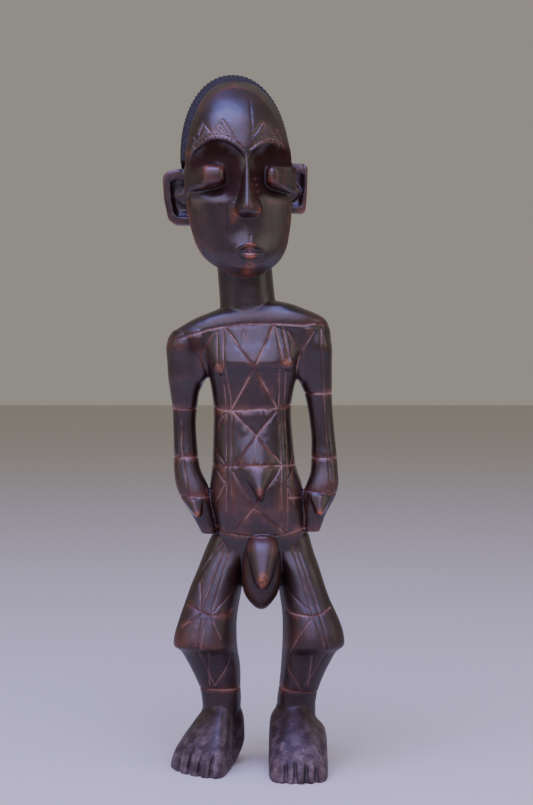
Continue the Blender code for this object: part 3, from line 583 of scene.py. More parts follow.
@dataclass
class Head:
    """The head: a bevelled face plate, the skull and hair behind it, sockets, pegs, nose and lips."""

    around: int = 180
    middle: Point = (-13.8, 586.0)
    reach: Point = (52.0, 100.0)
    turn: float = math.tan(math.radians(8.0))
    bevel_start: float = 0.905
    bevel_depth: float = 7.5
    # Height, centre x, half width, y of the rim, swell of the plate in front of its bevel
    face: tuple[tuple[float, ...], ...] = (
        (488.5, -5.5, 0.5, -44, 1), (491, -6.0, 12.0, -43, 2.5), (496, -7.2, 22.0, -41, 6.5),
        (503, -8.6, 32.5, -39, 10.5), (511, -9.8, 39.6, -38, 13), (521, -10.7, 44.6, -36, 15.5),
        (532, -11.5, 47.4, -35, 16.5), (548, -12.6, 50.6, -34, 18), (575, -13.6, 52.0, -34, 18.5),
        (606, -13.9, 52.0, -34, 19.5), (622, -14.3, 49.8, -32, 20), (643, -14.7, 44.4, -27, 18.5),
        (660, -15.4, 37.2, -19, 15.5), (672, -16.2, 29.8, -11, 11.5), (681, -16.4, 20.5, -4, 7.5),
        (686, -16.4, 10.0, 1, 3.5), (687.5, -16.4, 0.5, 3, 1),
    )
    # Y, centre x, middle height, half width, half height, share of the face's egg shape
    skull: tuple[tuple[float, ...], ...] = (
        (-8, -14.8, 596, 52.6, 94, 0.75), (12, -16.0, 603, 53.2, 84, 0.35),
        (30, -17.0, 611, 49.0, 71, 0.0), (45, -17.5, 613, 39.0, 56, 0.0), (54, -18.0, 614, 27.0, 39, 0.0),
        (58.5, -18.0, 614, 13.0, 19, 0.0),
    )
    # Y, lean of the section with height, middle height, half width, half height
    hair: tuple[tuple[float, ...], ...] = (
        (-31, 0.40, 604, 50.5, 83.0), (-27, 0.39, 605, 53.2, 85.8), (2, 0.10, 607, 54.8, 87.4),
        (24, 0.03, 610, 53.0, 81.0), (42, 0.0, 613, 44.0, 64.0), (54, 0.0, 614, 30.5, 44.0),
        (60, 0.0, 614, 14.0, 20.0),
    )
    hair_middle_x: float = -17.6
    hair_lean: float = -0.035
    hair_line: tuple[Point, ...] = (
        (-70, 603), (-70, 430), (90, 430), (90, 540), (40, 545), (14, 596), (-2, 604),
    )
    hair_sides: Point = (-120, 90)
    left_brow: tuple[Point, ...] = (
        (-80, 560), (-74, 600), (-63, 602), (-57, 611), (-50, 617.5), (-41, 621.5), (-33, 622.5),
        (-25, 621), (-17, 616.5), (-9.5, 610), (-7.0, 604), (-7.6, 596), (-9.5, 585), (-15, 568),
        (-24, 556), (-50, 550),
    )
    right_brow: tuple[Point, ...] = (
        (60, 560), (56, 600), (41, 602), (35, 610), (29, 616), (23, 619.3), (17, 620), (11, 618.6),
        (5, 615), (-1.2, 610), (-3.8, 604), (-3.2, 596), (-1.3, 585), (4.5, 568), (13, 556), (40, 550),
    )
    socket_step: float = 2.4
    socket_depth: float = 11.5
    socket_edge: float = 1.6
    # Where the sharp step below the brow starts, and over what height it grows
    step_level: float = 600.0
    step_rise: float = 8.0
    socket_slope: float = 21.0
    socket_fade: Point = (582.0, 560.0)
    muzzle: Spot = (-2.2, 513.0, 5.0)
    muzzle_reach: Point = (19.0, 19.0)
    muzzle_fall: float = 1.6
    # How squarely the plate swells, and how square the sections of the skull and the hair are
    plate_power: float = 2.2
    skull_power: float = 2.15
    hair_power: float = 2.1
    # The rings of the plate, and the small share of the way at which they start
    plate_rings: int = 56
    first_share: float = 0.01
    halvings: int = 40
    # X, y of the front, middle height, half height
    left_peg: tuple[tuple[float, ...], ...] = (
        (-67, -39.0, 584.6, 14.0), (-62.6, -45.5, 585.0, 14.0), (-54, -57.0, 585.6, 13.6),
        (-46.5, -67.0, 586.4, 13.2), (-44, -68.2, 586.7, 13.0), (-38, -68.8, 587.2, 12.4),
        (-32, -68.0, 587.6, 11.4), (-28.2, -65.4, 587.6, 9.8), (-26.2, -60.0, 587.4, 7.0),
    )
    right_peg: tuple[tuple[float, ...], ...] = (
        (43, -29.0, 585.0, 13.2), (38.5, -36.0, 585.2, 12.8), (31, -52.0, 585.8, 12.4),
        (24, -59.5, 586.8, 12.0), (18.6, -61.5, 587.4, 11.4), (15.2, -59.5, 587.6, 9.8),
        (13.2, -54, 587.4, 7.0),
    )
    peg_back_y: float = -26.0
    peg_power: float = 3.6
    peg_around: int = 40
    peg_back_share: float = 0.01
    lip_around: int = 20
    lip_depth: float = 1.3
    rim_y: float = -34.0
    nose: tuple[Section, ...] = (
        (547.0, -5.2, -50, 5.0, 14, 6), (548.2, -5.1, -50, 10.5, 19.5, 8),
        (550.5, -5.0, -50, 14.0, 24.4, 8), (554, -5.0, -50, 15.4, 26.6, 8),
        (559, -5.0, -50, 14.4, 26.2, 8), (566, -5.0, -50, 11.6, 23.4, 8), (575, -5.1, -50, 8.8, 19.4, 8),
        (586, -5.3, -50, 6.4, 15.2, 8), (598, -5.5, -50, 4.6, 11.6, 8), (610, -5.6, -50, 3.6, 9.2, 8),
        (618, -5.6, -50, 2.6, 5.6, 8),
    )
    # X, y, height and radius along each lip
    lips: tuple[list[tuple[float, ...]], list[tuple[float, ...]]] = (
        [
            (-16.0, -60.5, 513.6, 1.3), (-12.6, -63.0, 516.2, 1.8), (-7.6, -64.8, 519.2, 2.0),
            (-2.4, -65.8, 521.0, 2.1), (3.0, -64.4, 519.4, 2.0), (8.6, -62.0, 516.4, 1.8),
            (12.0, -59.0, 513.8, 1.3),
        ],
        [
            (-14.4, -59.6, 512.2, 1.4), (-10.8, -61.8, 510.8, 2.8), (-6.4, -63.4, 509.8, 3.4),
            (-2.2, -64.0, 509.4, 3.6), (2.6, -63.2, 509.8, 3.4), (7.0, -61.4, 510.8, 2.8),
            (10.6, -59.0, 512.2, 1.4),
        ],
    )
    mouth: tuple[Spot, ...] = (
        (-2.4, -66.8, 519.6), (-11.5, -62.8, 514.6), (7.2, -62.2, 514.6), (-2.4, -64.8, 514.4),
        (-2.4, -58, 517), (-11, -58, 514.6), (7, -58, 514.6),
    )
    ears: tuple[Ear, Ear] = (
        Ear(
            "left_ear",
            (
                (-58, 600), (-69, 599.5), (-85, 596.5), (-90, 591), (-88.7, 569), (-84.4, 548.5),
                (-77, 543), (-58, 543),
            ),
            (
                (-60, 587), (-77, 588.5), (-82, 585.5), (-81.4, 570), (-78.6, 555), (-74.6, 550.6),
                (-60, 550.2),
            ),
            (
                (-66, -11, 584), (-66, -11, 559), (-66, 4, 572), (-80, -10, 571), (-77, -2, 571.5),
                (-66, -16, 572),
            ),
        ),
        Ear(
            "right_ear",
            ((30, 604), (51, 603.8), (54.5, 600), (54, 576.6), (52.5, 557.6), (49.6, 554.6), (30, 555.6)),
            (
                (32, 593), (47.5, 594.6), (50.6, 592), (50.2, 577), (48.6, 564.4), (45.8, 561.4),
                (32, 561.4),
            ),
            ((38, -7, 589), (38, -7, 563), (38, 8, 577), (50.0, -5, 576), (48, 2, 577), (38, -11, 576)),
        ),
    )

    def __post_init__(self) -> None:
        """Smooths the face's table once, because every point of the face reads it."""
        self.sections = [tuple(row) for row in spread(self.face, 6)]

    def edge_at(self, angle: float) -> Point:
        """Finds where the face plate's outline lies at an angle from its middle.

        Args:
            angle: the angle, in radians, on an oval of the plate's own proportions.

        Returns:
            The outline's point across and up.
        """
        step = (math.cos(angle) * self.reach[0], math.sin(angle) * self.reach[1])
        low, high = 0.0, 2.0
        for _ in range(self.halvings):
            share = (low + high) / 2
            x, z = self.middle[0] + step[0] * share, self.middle[1] + step[1] * share
            _, centre, half_width, _, _ = lookup(self.sections, z)
            inside = self.face[0][0] < z < self.face[-1][0] and abs(x - centre) < half_width
            low, high = (share, high) if inside else (low, share)
        return self.middle[0] + step[0] * low, self.middle[1] + step[1] * low

    def plate_point(self, edge: Point, share: float) -> Spot:
        """Places a point of the face plate.

        Args:
            edge: the outline's point that it lies towards.
            share: how far it lies from the middle to that point.

        Returns:
            The point on the drawing.
        """
        x = self.middle[0] + (edge[0] - self.middle[0]) * share
        z = self.middle[1] + (edge[1] - self.middle[1]) * share
        _, centre, half_width, rim, swell = lookup(self.sections, z)
        y = rim
        if share < 1.0:
            across = min(1.0, abs(x - centre) / (half_width * self.bevel_start))
            y = rim - self.bevel_depth - swell * (1 - across**self.plate_power)
        return x, y + (x - self.middle[0]) * self.turn, z

    def socket_at(self, x: float, z: float, brow: Sequence[Point]) -> float:
        """Works out how deep the face is hollowed below a brow.

        Args:
            x: the place across.
            z: the place up.
            brow: the outline of the hollow, whose top is the brow's edge.

        Returns:
            The depth: nothing outside the outline, full a little way inside it, and fading down the cheek.
        """
        inside = False
        nearest = 1e9
        for (ax, az), (bx, bz) in zip(brow, brow[1:] + brow[:1]):
            if (az > z) != (bz > z) and x < (bx - ax) * (z - az) / (bz - az) + ax:
                inside = not inside
            length = (bx - ax) ** 2 + (bz - az) ** 2
            t = max(0.0, min(1.0, ((x - ax) * (bx - ax) + (z - az) * (bz - az)) / length))
            nearest = min(nearest, math.hypot(x - ax - t * (bx - ax), z - az - t * (bz - az)))
        if not inside:
            return 0.0
        high, low = self.socket_fade
        fade = max(0.0, min(1.0, (z - low) / (high - low)))
        upper = max(0.0, min(1.0, (z - self.step_level) / self.step_rise))
        step = self.socket_step * min(1.0, nearest / self.socket_edge) * upper
        quarter = min(1.0, nearest / self.socket_slope) * math.pi / 2
        slope = (self.socket_depth - self.socket_step) * math.sin(quarter)
        return (step + slope) * fade * fade * (3 - 2 * fade)

    def worked_point(self, edge: Point, share: float) -> Spot:
        """Places a point of the carved face: the plate, hollowed below the brows and swollen round the mouth.

        Args:
            edge: the outline's point that it lies towards.
            share: how far it lies from the middle to that point.

        Returns:
            The point on the drawing.
        """
        x, y, z = self.plate_point(edge, share)
        if share <= self.bevel_start:
            y += self.socket_at(x, z, self.left_brow) + self.socket_at(x, z, self.right_brow)
            across = (x - self.muzzle[0]) / self.muzzle_reach[0]
            up = (z - self.muzzle[1]) / self.muzzle_reach[1]
            y -= self.muzzle[2] * math.exp(-self.muzzle_fall * (across**2 + up**2))
        return x, y, z

    def build_skull(self) -> Body:
        """Builds the face plate and the skull that closes behind it.

        Returns:
            Both as one body.
        """
        angles = [2 * math.pi * i / self.around for i in range(self.around)]
        outline = [self.edge_at(angle) for angle in angles]
        count = self.plate_rings
        shares = [self.first_share, *[self.bevel_start * (k + 1) / count for k in range(count)], 1.0]
        rings = [[self.worked_point(edge, share) for edge in outline] for share in shares]
        rim = rings[-1]
        for y, centre_x, middle_z, half_width, half_height, egg in spread(self.skull, 3):
            ring = []
            for angle, (edge_x, edge_y, edge_z) in zip(angles, rim):
                px, pz = oval(angle, half_width, half_height, self.skull_power)
                x = centre_x + px + (edge_x - centre_x - px) * egg
                z = middle_z + pz + (edge_z - middle_z - pz) * egg
                ring.append((x, y + (edge_y - self.rim_y) * egg, z))
            rings.append(ring)
        return skin("skull", rings)

    def build_hair(self) -> Body:
        """Builds the cap of hair that stands proud of the skull above the hairline.

        Returns:
            The cap.
        """
        rings = []
        for y, lean, middle_z, half_width, half_height in spread(self.hair, 3):
            ring = []
            for i in range(self.around):
                px, pz = oval(2 * math.pi * i / self.around, half_width, half_height, self.hair_power)
                x = self.hair_middle_x + px + self.hair_lean * pz
                ring.append((x, y + lean * (pz + self.turn * px), middle_z + pz))
            rings.append(ring)
        below = skin("hairline", [[(x, y, z) for y, z in self.hair_line] for x in self.hair_sides])
        return cut_away(skin("hair", rings), below)

    def peg(self, name: str, keys: Sequence[tuple]) -> Body:
        """Makes a half-round bar that lies across a socket, in place of an eye.

        Args:
            name: the bar's name.
            keys: its sections.

        Returns:
            The bar.
        """
        rings = []
        for x, front, middle_z, half_height in keys:
            ring = []
            for i in range(self.peg_around):
                angle = 2 * math.pi * i / self.peg_around
                py, pz = oval(angle, self.peg_back_y - front, half_height, self.peg_power)
                y = self.peg_back_y + min(py, 0.0) + self.peg_back_share * max(py, 0.0)
                ring.append((x, y, middle_z + pz))
            rings.append(ring)
        return skin(name, rings)

    def lip(self, keys: Sequence[tuple]) -> Body:
        """Makes a lip: a rounded ridge bent along the mouth.

        Args:
            keys: its sections.

        Returns:
            The ridge.
        """
        rings = []
        for x, y, z, radius in spread(keys, 4):
            ring = []
            for i in range(self.lip_around):
                py, pz = oval(2 * math.pi * i / self.lip_around, radius * self.lip_depth, radius, 2.0)
                ring.append((x, y + py, z + pz))
            rings.append(ring)
        return skin("lip", rings)

    def build(self) -> list[Body]:
        """Builds every form of the head.

        Returns:
            The forms.
        """
        pieces = [
            self.build_skull(),
            wedge("mouth", self.mouth),
            self.build_hair(),
            self.peg("left_peg", self.left_peg),
            self.peg("right_peg", self.right_peg),
            column("nose", self.nose, around=40, steps=3, power=(1.6, 2.2)),
            *[self.lip(keys) for keys in self.lips],
        ]
        for ear in self.ears:
            pieces += ear.build()
        return pieces


@dataclass
class Figure:
    """The whole carving, drawn together from its forms into one skin."""

    voxel: float = 0.0009
    soften: int = 3
    most_faces: int = 190000
    trunk: Trunk = field(default_factory=Trunk)
    head: Head = field(default_factory=Head)
    loins: Loins = field(default_factory=Loins)
    limbs: list[Arm | Leg | Foot] = field(default_factory=list)

    def forms(self) -> list[Body]:
        """Builds the separate forms that overlap to make the carving.

        Returns:
            The forms.
        """
        made = self.trunk.build() + self.head.build() + self.loins.build()
        for limb in self.limbs:
            made += limb.build()
        return made

    def draw_together(self, forms: list[Body]) -> Body:
        """Draws overlapping forms into one skin.

        Args:
            forms: the closed forms, which are removed.

        Returns:
            The carving as one closed body.
        """
        bm = bmesh.new()
        for form in forms:
            bm.from_mesh(form.data)
            bpy.data.objects.remove(form)
        body = put_in_scene("carving", bm)
        remesh = body.modifiers.new("Skin", "REMESH")
        remesh.mode = "VOXEL"
        remesh.voxel_size = self.voxel
        smooth = body.modifiers.new("Soften", "SMOOTH")
        smooth.factor = 0.5
        smooth.iterations = self.soften
        return apply_modifiers(body)


@dataclass(frozen=True)
class Stroke:
    """One line cut into the front: its way across and up on the drawing, and how it is cut."""

    way: tuple[Point, ...]
    cut: Cut


@dataclass(frozen=True)
class Band:
    """A line cut all round a form: its middle across and forward, and its height across the front."""

    middle: Point
    way: tuple[Point, ...]
    cut: Cut = Cut.BOLD


@dataclass
class LineWork:
    """The incised lines: the panels of crossed lines, the bands round the limbs and the marks on the brow."""

    strokes: list[Stroke]
    bands: list[Band]
    step: float = 1.0
    longest_jump: float = 7.0
    start: float = -160.0
    band_points: int = 120
    band_tries: int = 3

    def walk(self, way: tuple[Point, ...]) -> list[Point]:
        """Places points along a line, a step apart.

        Args:
            way: the line's corners.

        Returns:
            The points, the last corner included.
        """
        points = []
        for (ax, az), (bx, bz) in zip(way, way[1:]):
            count = max(2, round(math.hypot(bx - ax, bz - az) / self.step))
            points += [(ax + (bx - ax) * k / count, az + (bz - az) * k / count) for k in range(count)]
        points.append(way[-1])
        return points

    def drape_stroke(self, tree: BVHTree, stroke: Stroke) -> list[Vector | None]:
        """Lays a stroke on the carving.

        Args:
            tree: the carving's surface.
            stroke: the stroke to lay.

        Returns:
            Its points in the frame, with None where the cutter meets nothing.
        """
        look = Vector((0.0, 1.0, 0.0))
        found = []
        for x, z in self.walk(stroke.way):
            start = (Vector((x, self.start, z)) + DRAWING_ORIGIN) * MM
            found.append(tree.ray_cast(start, look)[0])
        return found

    def drape_band(self, tree: BVHTree, band: Band) -> list[Vector | None]:
        """Lays a band round a limb, cast outward from the limb's middle.

        Args:
            tree: the carving's surface.
            band: the band to lay.

        Returns:
            Its points in the frame, the first one again at the end.
        """
        found = []
        level = sum(z for _, z in band.way) / len(band.way)
        for k in range(self.band_points + 1):
            angle = 2 * math.pi * k / self.band_points
            look = Vector((math.cos(angle), math.sin(angle), 0.0))
            height = level
            hit = None
            for _ in range(self.band_tries):
                start = (Vector((band.middle[0], band.middle[1], height)) + DRAWING_ORIGIN) * MM
                hit = tree.ray_cast(start, look)[0]
                if hit is None:
                    break
                height = lookup(band.way, hit.x / MM - DRAWING_ORIGIN.x)[1]
            found.append(hit)
        return found

    def build(self, body: Body, cut: Cut) -> Body:
        """Lays every line of one cut on the carving.

        Args:
            body: the carving.
            cut: the cut whose lines are laid.

        Returns:
            A helper object of edges along the lines.
        """
        corners = [vertex.co for vertex in body.data.vertices]
        tree = BVHTree.FromPolygons(corners, [face.vertices for face in body.data.polygons])
        runs = [self.drape_stroke(tree, stroke) for stroke in self.strokes if stroke.cut is cut]
        runs += [self.drape_band(tree, band) for band in self.bands if band.cut is cut]
        bm = bmesh.new()
        for run in runs:
            last = None
            for point in run:
                vert = bm.verts.new(point) if point is not None else None
                if last and vert and (vert.co - last.co).length < self.longest_jump * MM:
                    bm.edges.new((last, vert))
                last = vert
        return put_in_scene("lines_" + cut.name.lower(), bm)


def node(
    tree: bpy.types.NodeTree, kind: str, settings: dict | None = None, links: dict | None = None
) -> bpy.types.Node:
    """Adds a node to a tree, with its settings and what feeds it.

    Args:
        tree: the tree.
        kind: the node's type.
        settings: its properties by name.
        links: its inputs by name or place, each a plain value or an output of another node.

    Returns:
        The node.
    """
    made = tree.nodes.new(kind)
    for name, value in (settings or {}).items():
        setattr(made, name, value)
    for key, value in (links or {}).items():
        socket = made.inputs[key]
        if isinstance(value, Socket):
            tree.links.new(value, socket)
        else:
            socket.default_value = value
    return made


class Recipe:
    """A Geometry Nodes tree with named inputs, which takes a mesh in and gives one back."""

    def __init__(self, name: str, inputs: dict[str, tuple[str, object]]) -> None:
        """Starts a tree.

        Args:
            name: the tree's name.
            inputs: the type and the usual value of each input, by name.
        """
        self.tree = bpy.data.node_groups.new(name, "GeometryNodeTree")
        for way in ("INPUT", "OUTPUT"):
            self.tree.interface.new_socket("Geometry", in_out=way, socket_type="NodeSocketGeometry")
        self.keys = {}
        for label, (kind, usual) in inputs.items():
            socket = self.tree.interface.new_socket(label, in_out="INPUT", socket_type=kind)
            if usual is not None:
                socket.default_value = usual
            self.keys[label] = socket.identifier
        self.source = self.tree.nodes.new("NodeGroupInput")

    def add(self, kind: str, settings: dict | None = None, links: dict | None = None) -> bpy.types.Node:
        """Adds a node to the tree, as the function of that name does."""
        return node(self.tree, kind, settings, links)

    def math(self, operation: str, *values: object) -> Socket:
        """Adds a sum and gives its result."""
        return self.add("ShaderNodeMath", {"operation": operation}, dict(enumerate(values))).outputs[0]

    def vector(self, operation: str, links: dict, result: object = 0) -> Socket:
        """Adds a vector sum and gives one of its results."""
        return self.add("ShaderNodeVectorMath", {"operation": operation}, links).outputs[result]

    def clamped(self, value: object) -> Socket:
        """Keeps a value between nothing and 1."""
        return self.math("MINIMUM", self.math("MAXIMUM", value, 0.0), 1.0)

    def distance(self, label: str, element: str) -> Socket:
        """Measures how far the surface lies from the points, edges or faces of a helper.

        Args:
            label: the input that takes the helper.
            element: what of the helper is measured from.

        Returns:
            The distance.
        """
        helper = self.add("GeometryNodeObjectInfo", None, {"Object": self.source.outputs[label]})
        links = {0: helper.outputs["Geometry"]}
        return self.add("GeometryNodeProximity", {"target_element": element}, links).outputs["Distance"]

    def sink(self, geometry: object, depth: object) -> Socket:
        """Moves every point of some geometry inward.

        Args:
            geometry: the geometry.
            depth: how far each point goes in.

        Returns:
            The moved geometry.
        """
        normal = self.add("GeometryNodeInputNormal").outputs[0]
        shift = self.vector("SCALE", {0: normal, "Scale": self.math("MULTIPLY", depth, -1.0)})
        return self.add("GeometryNodeSetPosition", None, {"Geometry": geometry, "Offset": shift}).outputs[0]

    def end(self, geometry: Socket) -> None:
        """Ends the tree in real geometry with its material set.

        Args:
            geometry: what the tree has made.
        """
        real = self.add("GeometryNodeRealizeInstances", None, {0: geometry})
        links = {"Geometry": real.outputs[0], "Material": self.source.outputs["Material"]}
        dressed = self.add("GeometryNodeSetMaterial", None, links)
        self.add("NodeGroupOutput", None, {0: dressed.outputs[0]})

    def put_on(self, body: Body, values: dict[str, object]) -> None:
        """Puts the tree on an object.

        Args:
            body: the object.
            values: what its inputs are set to, by name.
        """
        modifier = body.modifiers.new(self.tree.name, "NODES")
        modifier.node_group = self.tree
        for label, value in values.items():
            modifier[self.keys[label]] = value


LEFT_ARM = Arm(
    "left_arm",
    [
        (438, -62.0, 0, 18.0, 17, 17), (424, -68.0, 0, 18.8, 20, 19), (409, -67.2, 1, 18.9, 19, 18),
        (391, -66.2, 1, 18.8, 17.5, 17), (383.5, -67.2, 2, 16.8, 16.5, 16),
        (374.5, -68.4, 2, 14.3, 15, 15), (360, -68.4, 2, 12.3, 13.5, 13.5),
        (347, -68.7, 2, 11.5, 12.5, 12.5), (330, -68.1, 1, 11.5, 12.5, 12.5),
        (311, -67.0, -1, 12.3, 13, 13), (298, -65.6, -3, 13.5, 13.5, 13.5),
        (284, -61.2, -6, 15.9, 14, 14), (272, -57.3, -8, 15.2, 13.5, 14), (260, -52.4, -9, 12.4, 11, 13),
        (250, -48.4, -10, 10.4, 9, 12), (240, -45.2, -11, 8.2, 8, 11), (235.5, -44.4, -11, 6.6, 6.5, 9),
    ],
    [
        (-72, -10, 270), (-70, -17, 271), (-60, -24.5, 270.5), (-50, -20, 270.5), (-56.8, -28.5, 255),
        (-52.6, -28.5, 254), (-55, -24, 251.5), (-62, -12, 256), (-48, -12, 258),
    ],
)
RIGHT_ARM = Arm(
    "right_arm",
    [
        (444, 56.0, 0, 17.0, 17, 17), (424, 62.6, 0, 16.4, 20, 19), (407, 61.6, 1, 17.5, 19, 18),
        (394, 61.0, 1, 18.1, 17.5, 17), (385, 63.2, 2, 15.9, 16.5, 16), (375, 65.3, 2, 13.8, 15, 15),
        (364, 66.7, 2, 12.7, 13.5, 13.5), (349, 68.5, 2, 12.0, 12.5, 12.5),
        (330, 70.4, 1, 11.9, 12.5, 12.5), (311, 71.2, -1, 13.0, 13, 13),
        (298, 71.4, -3, 13.6, 13.5, 13.5), (287, 70.0, -6, 15.6, 14, 14), (277, 67.2, -8, 16.8, 13.5, 14),
        (270, 65.6, -9, 15.6, 12.5, 13.5), (262, 63.4, -10, 13.3, 11.5, 13),
        (254, 61.2, -10, 11.2, 9.5, 12), (245, 60.0, -11, 9.2, 8, 11), (237.5, 58.8, -11, 7.4, 6.5, 9),
    ],
    [
        (80, -10, 272), (78, -17, 274), (67, -24.5, 275), (56, -20, 275), (68.8, -28.5, 256.5),
        (64.4, -28.5, 256), (66.4, -24, 253.5), (72.5, -12, 258), (57, -12, 262),
    ],
)
LEFT_LEG = Leg(
    "left_leg",
    [
        (244, -14.0, 4, 20.0, 20, 32), (232, -17.0, 4, 24.0, 26, 41), (217, -22.5, 4, 25.0, 28, 41),
        (200, -30.0, 1, 23.6, 31, 37), (185, -35.4, -3, 24.5, 32, 32), (167, -40.3, -8, 26.1, 33, 30),
        (152, -43.9, -12, 27.5, 36, 28), (138, -46.0, -14, 29.5, 39.5, 27),
        (128, -46.4, -15, 30.2, 40.5, 27), (124.5, -45.6, -14, 29.6, 38, 27),
        (121.5, -44.0, -12, 28.4, 32, 26), (117, -42.4, -9, 27.0, 29, 26), (106, -38.9, -4, 25.1, 27, 26),
        (95, -36.0, -2, 22.9, 24, 24), (80, -33.0, 1, 20.0, 20, 21), (66, -31.6, 3, 19.1, 19, 20),
        (52, -31.5, 4, 18.0, 18, 18),
    ],
    math.radians(-14.0),
)
RIGHT_LEG = Leg(
    "right_leg",
    [
        (244, 28.0, 4, 23.0, 20, 32), (232, 31.0, 4, 24.5, 26, 41), (218, 35.2, 4, 24.0, 28, 41),
        (202, 42.2, 1, 22.2, 31, 37), (185, 47.8, -3, 21.8, 32, 32), (171, 51.3, -8, 23.4, 32, 30),
        (157, 55.5, -12, 25.8, 35, 28), (142, 58.4, -15, 28.6, 38.5, 27), (130, 59.2, -16, 29.6, 40, 27),
        (125, 58.4, -15, 29.0, 38, 27), (121.5, 57.0, -13, 27.6, 32, 26), (117, 55.2, -9, 26.0, 29, 26),
        (106, 52.2, -5, 23.4, 27, 26), (95, 49.3, -3, 21.3, 24, 24), (79, 45.6, -1, 19.4, 20, 21),
        (66, 43.4, 2, 19.0, 19, 20), (52, 43.5, 3, 18.0, 18, 18),
    ],
    math.radians(14.0),
)
LEFT_FOOT = Foot(
    "left_foot",
    (-31.5, 4.0),
    [
        (-31, 45), (-43, 40), (-52, 27), (-66, 12), (-79, 3), (-84, -8), (-81, -19), (-72, -38),
        (-58, -52), (-45, -61), (-35, -63), (-28.5, -55), (-23, -25), (-19.5, 5), (-18, 26), (-22, 40),
    ],
    heights=(58.0, 50.0, 56.0, 62.0),
    gaps=[(-74.5, -34.0), (-64.5, -46.0), (-54.0, -55.0), (-42.5, -62.0)],
    gap_turn=math.radians(-24.0),
    flare=11.0,
    flare_towards=math.radians(15.0),
    toe_height=13.5,
)
RIGHT_FOOT = Foot(
    "right_foot",
    (43.5, 3.0),
    [
        (43, 42), (31, 38), (21, 26), (17, 8), (15.6, -20), (16.2, -60), (20, -77), (32, -84.5),
        (46, -86), (59, -83.5), (70, -75), (73.6, -58), (74.2, -20), (73, 8), (67, 28), (56, 39),
    ],
    heights=(48.0, 50.0, 60.0, 62.0),
    gaps=[(32.2, -84.4), (41.4, -86.0), (52.0, -85.4), (62.0, -81.8)],
    least_fall=62.0,
)


def strokes(cut: Cut, *ways: tuple[Point, ...]) -> list[Stroke]:
    """Makes a stroke of one cut along each way."""
    return [Stroke(way, cut) for way in ways]


def hatching(count: int, first: Point, first_step: Point, last: Point, last_step: Point) -> list[Stroke]:
    """Makes short scratches side by side.

    Args:
        count: how many scratches.
        first: where the first one starts.
        first_step: from the start of one to the start of the next.
        last: where the first one ends.
        last_step: from the end of one to the end of the next.

    Returns:
        The scratches.
    """
    ways = []
    for k in range(count):
        start = (first[0] + k * first_step[0], first[1] + k * first_step[1])
        end = (last[0] + k * last_step[0], last[1] + k * last_step[1])
        ways.append((start, end))
    return strokes(Cut.SCRATCH, *ways)


def fringe(count: int, first: Point, last: Point, step: float, rise: float, bend: float) -> list[Stroke]:
    """Makes short scratches along the arch of a brow.

    Args:
        count: how many scratches.
        first: where the first one starts.
        last: where the first one ends.
        step: how far across it is from one to the next.
        rise: how high the arch is.
        bend: how many scratches there are to a radian of the arch.

    Returns:
        The scratches.
    """
    ways = []
    for k in range(count):
        arch = rise * math.sin(k / bend)
        ways.append(((first[0] + k * step, first[1] + arch), (last[0] + k * step, last[1] + arch)))
    return strokes(Cut.SCRATCH, *ways)


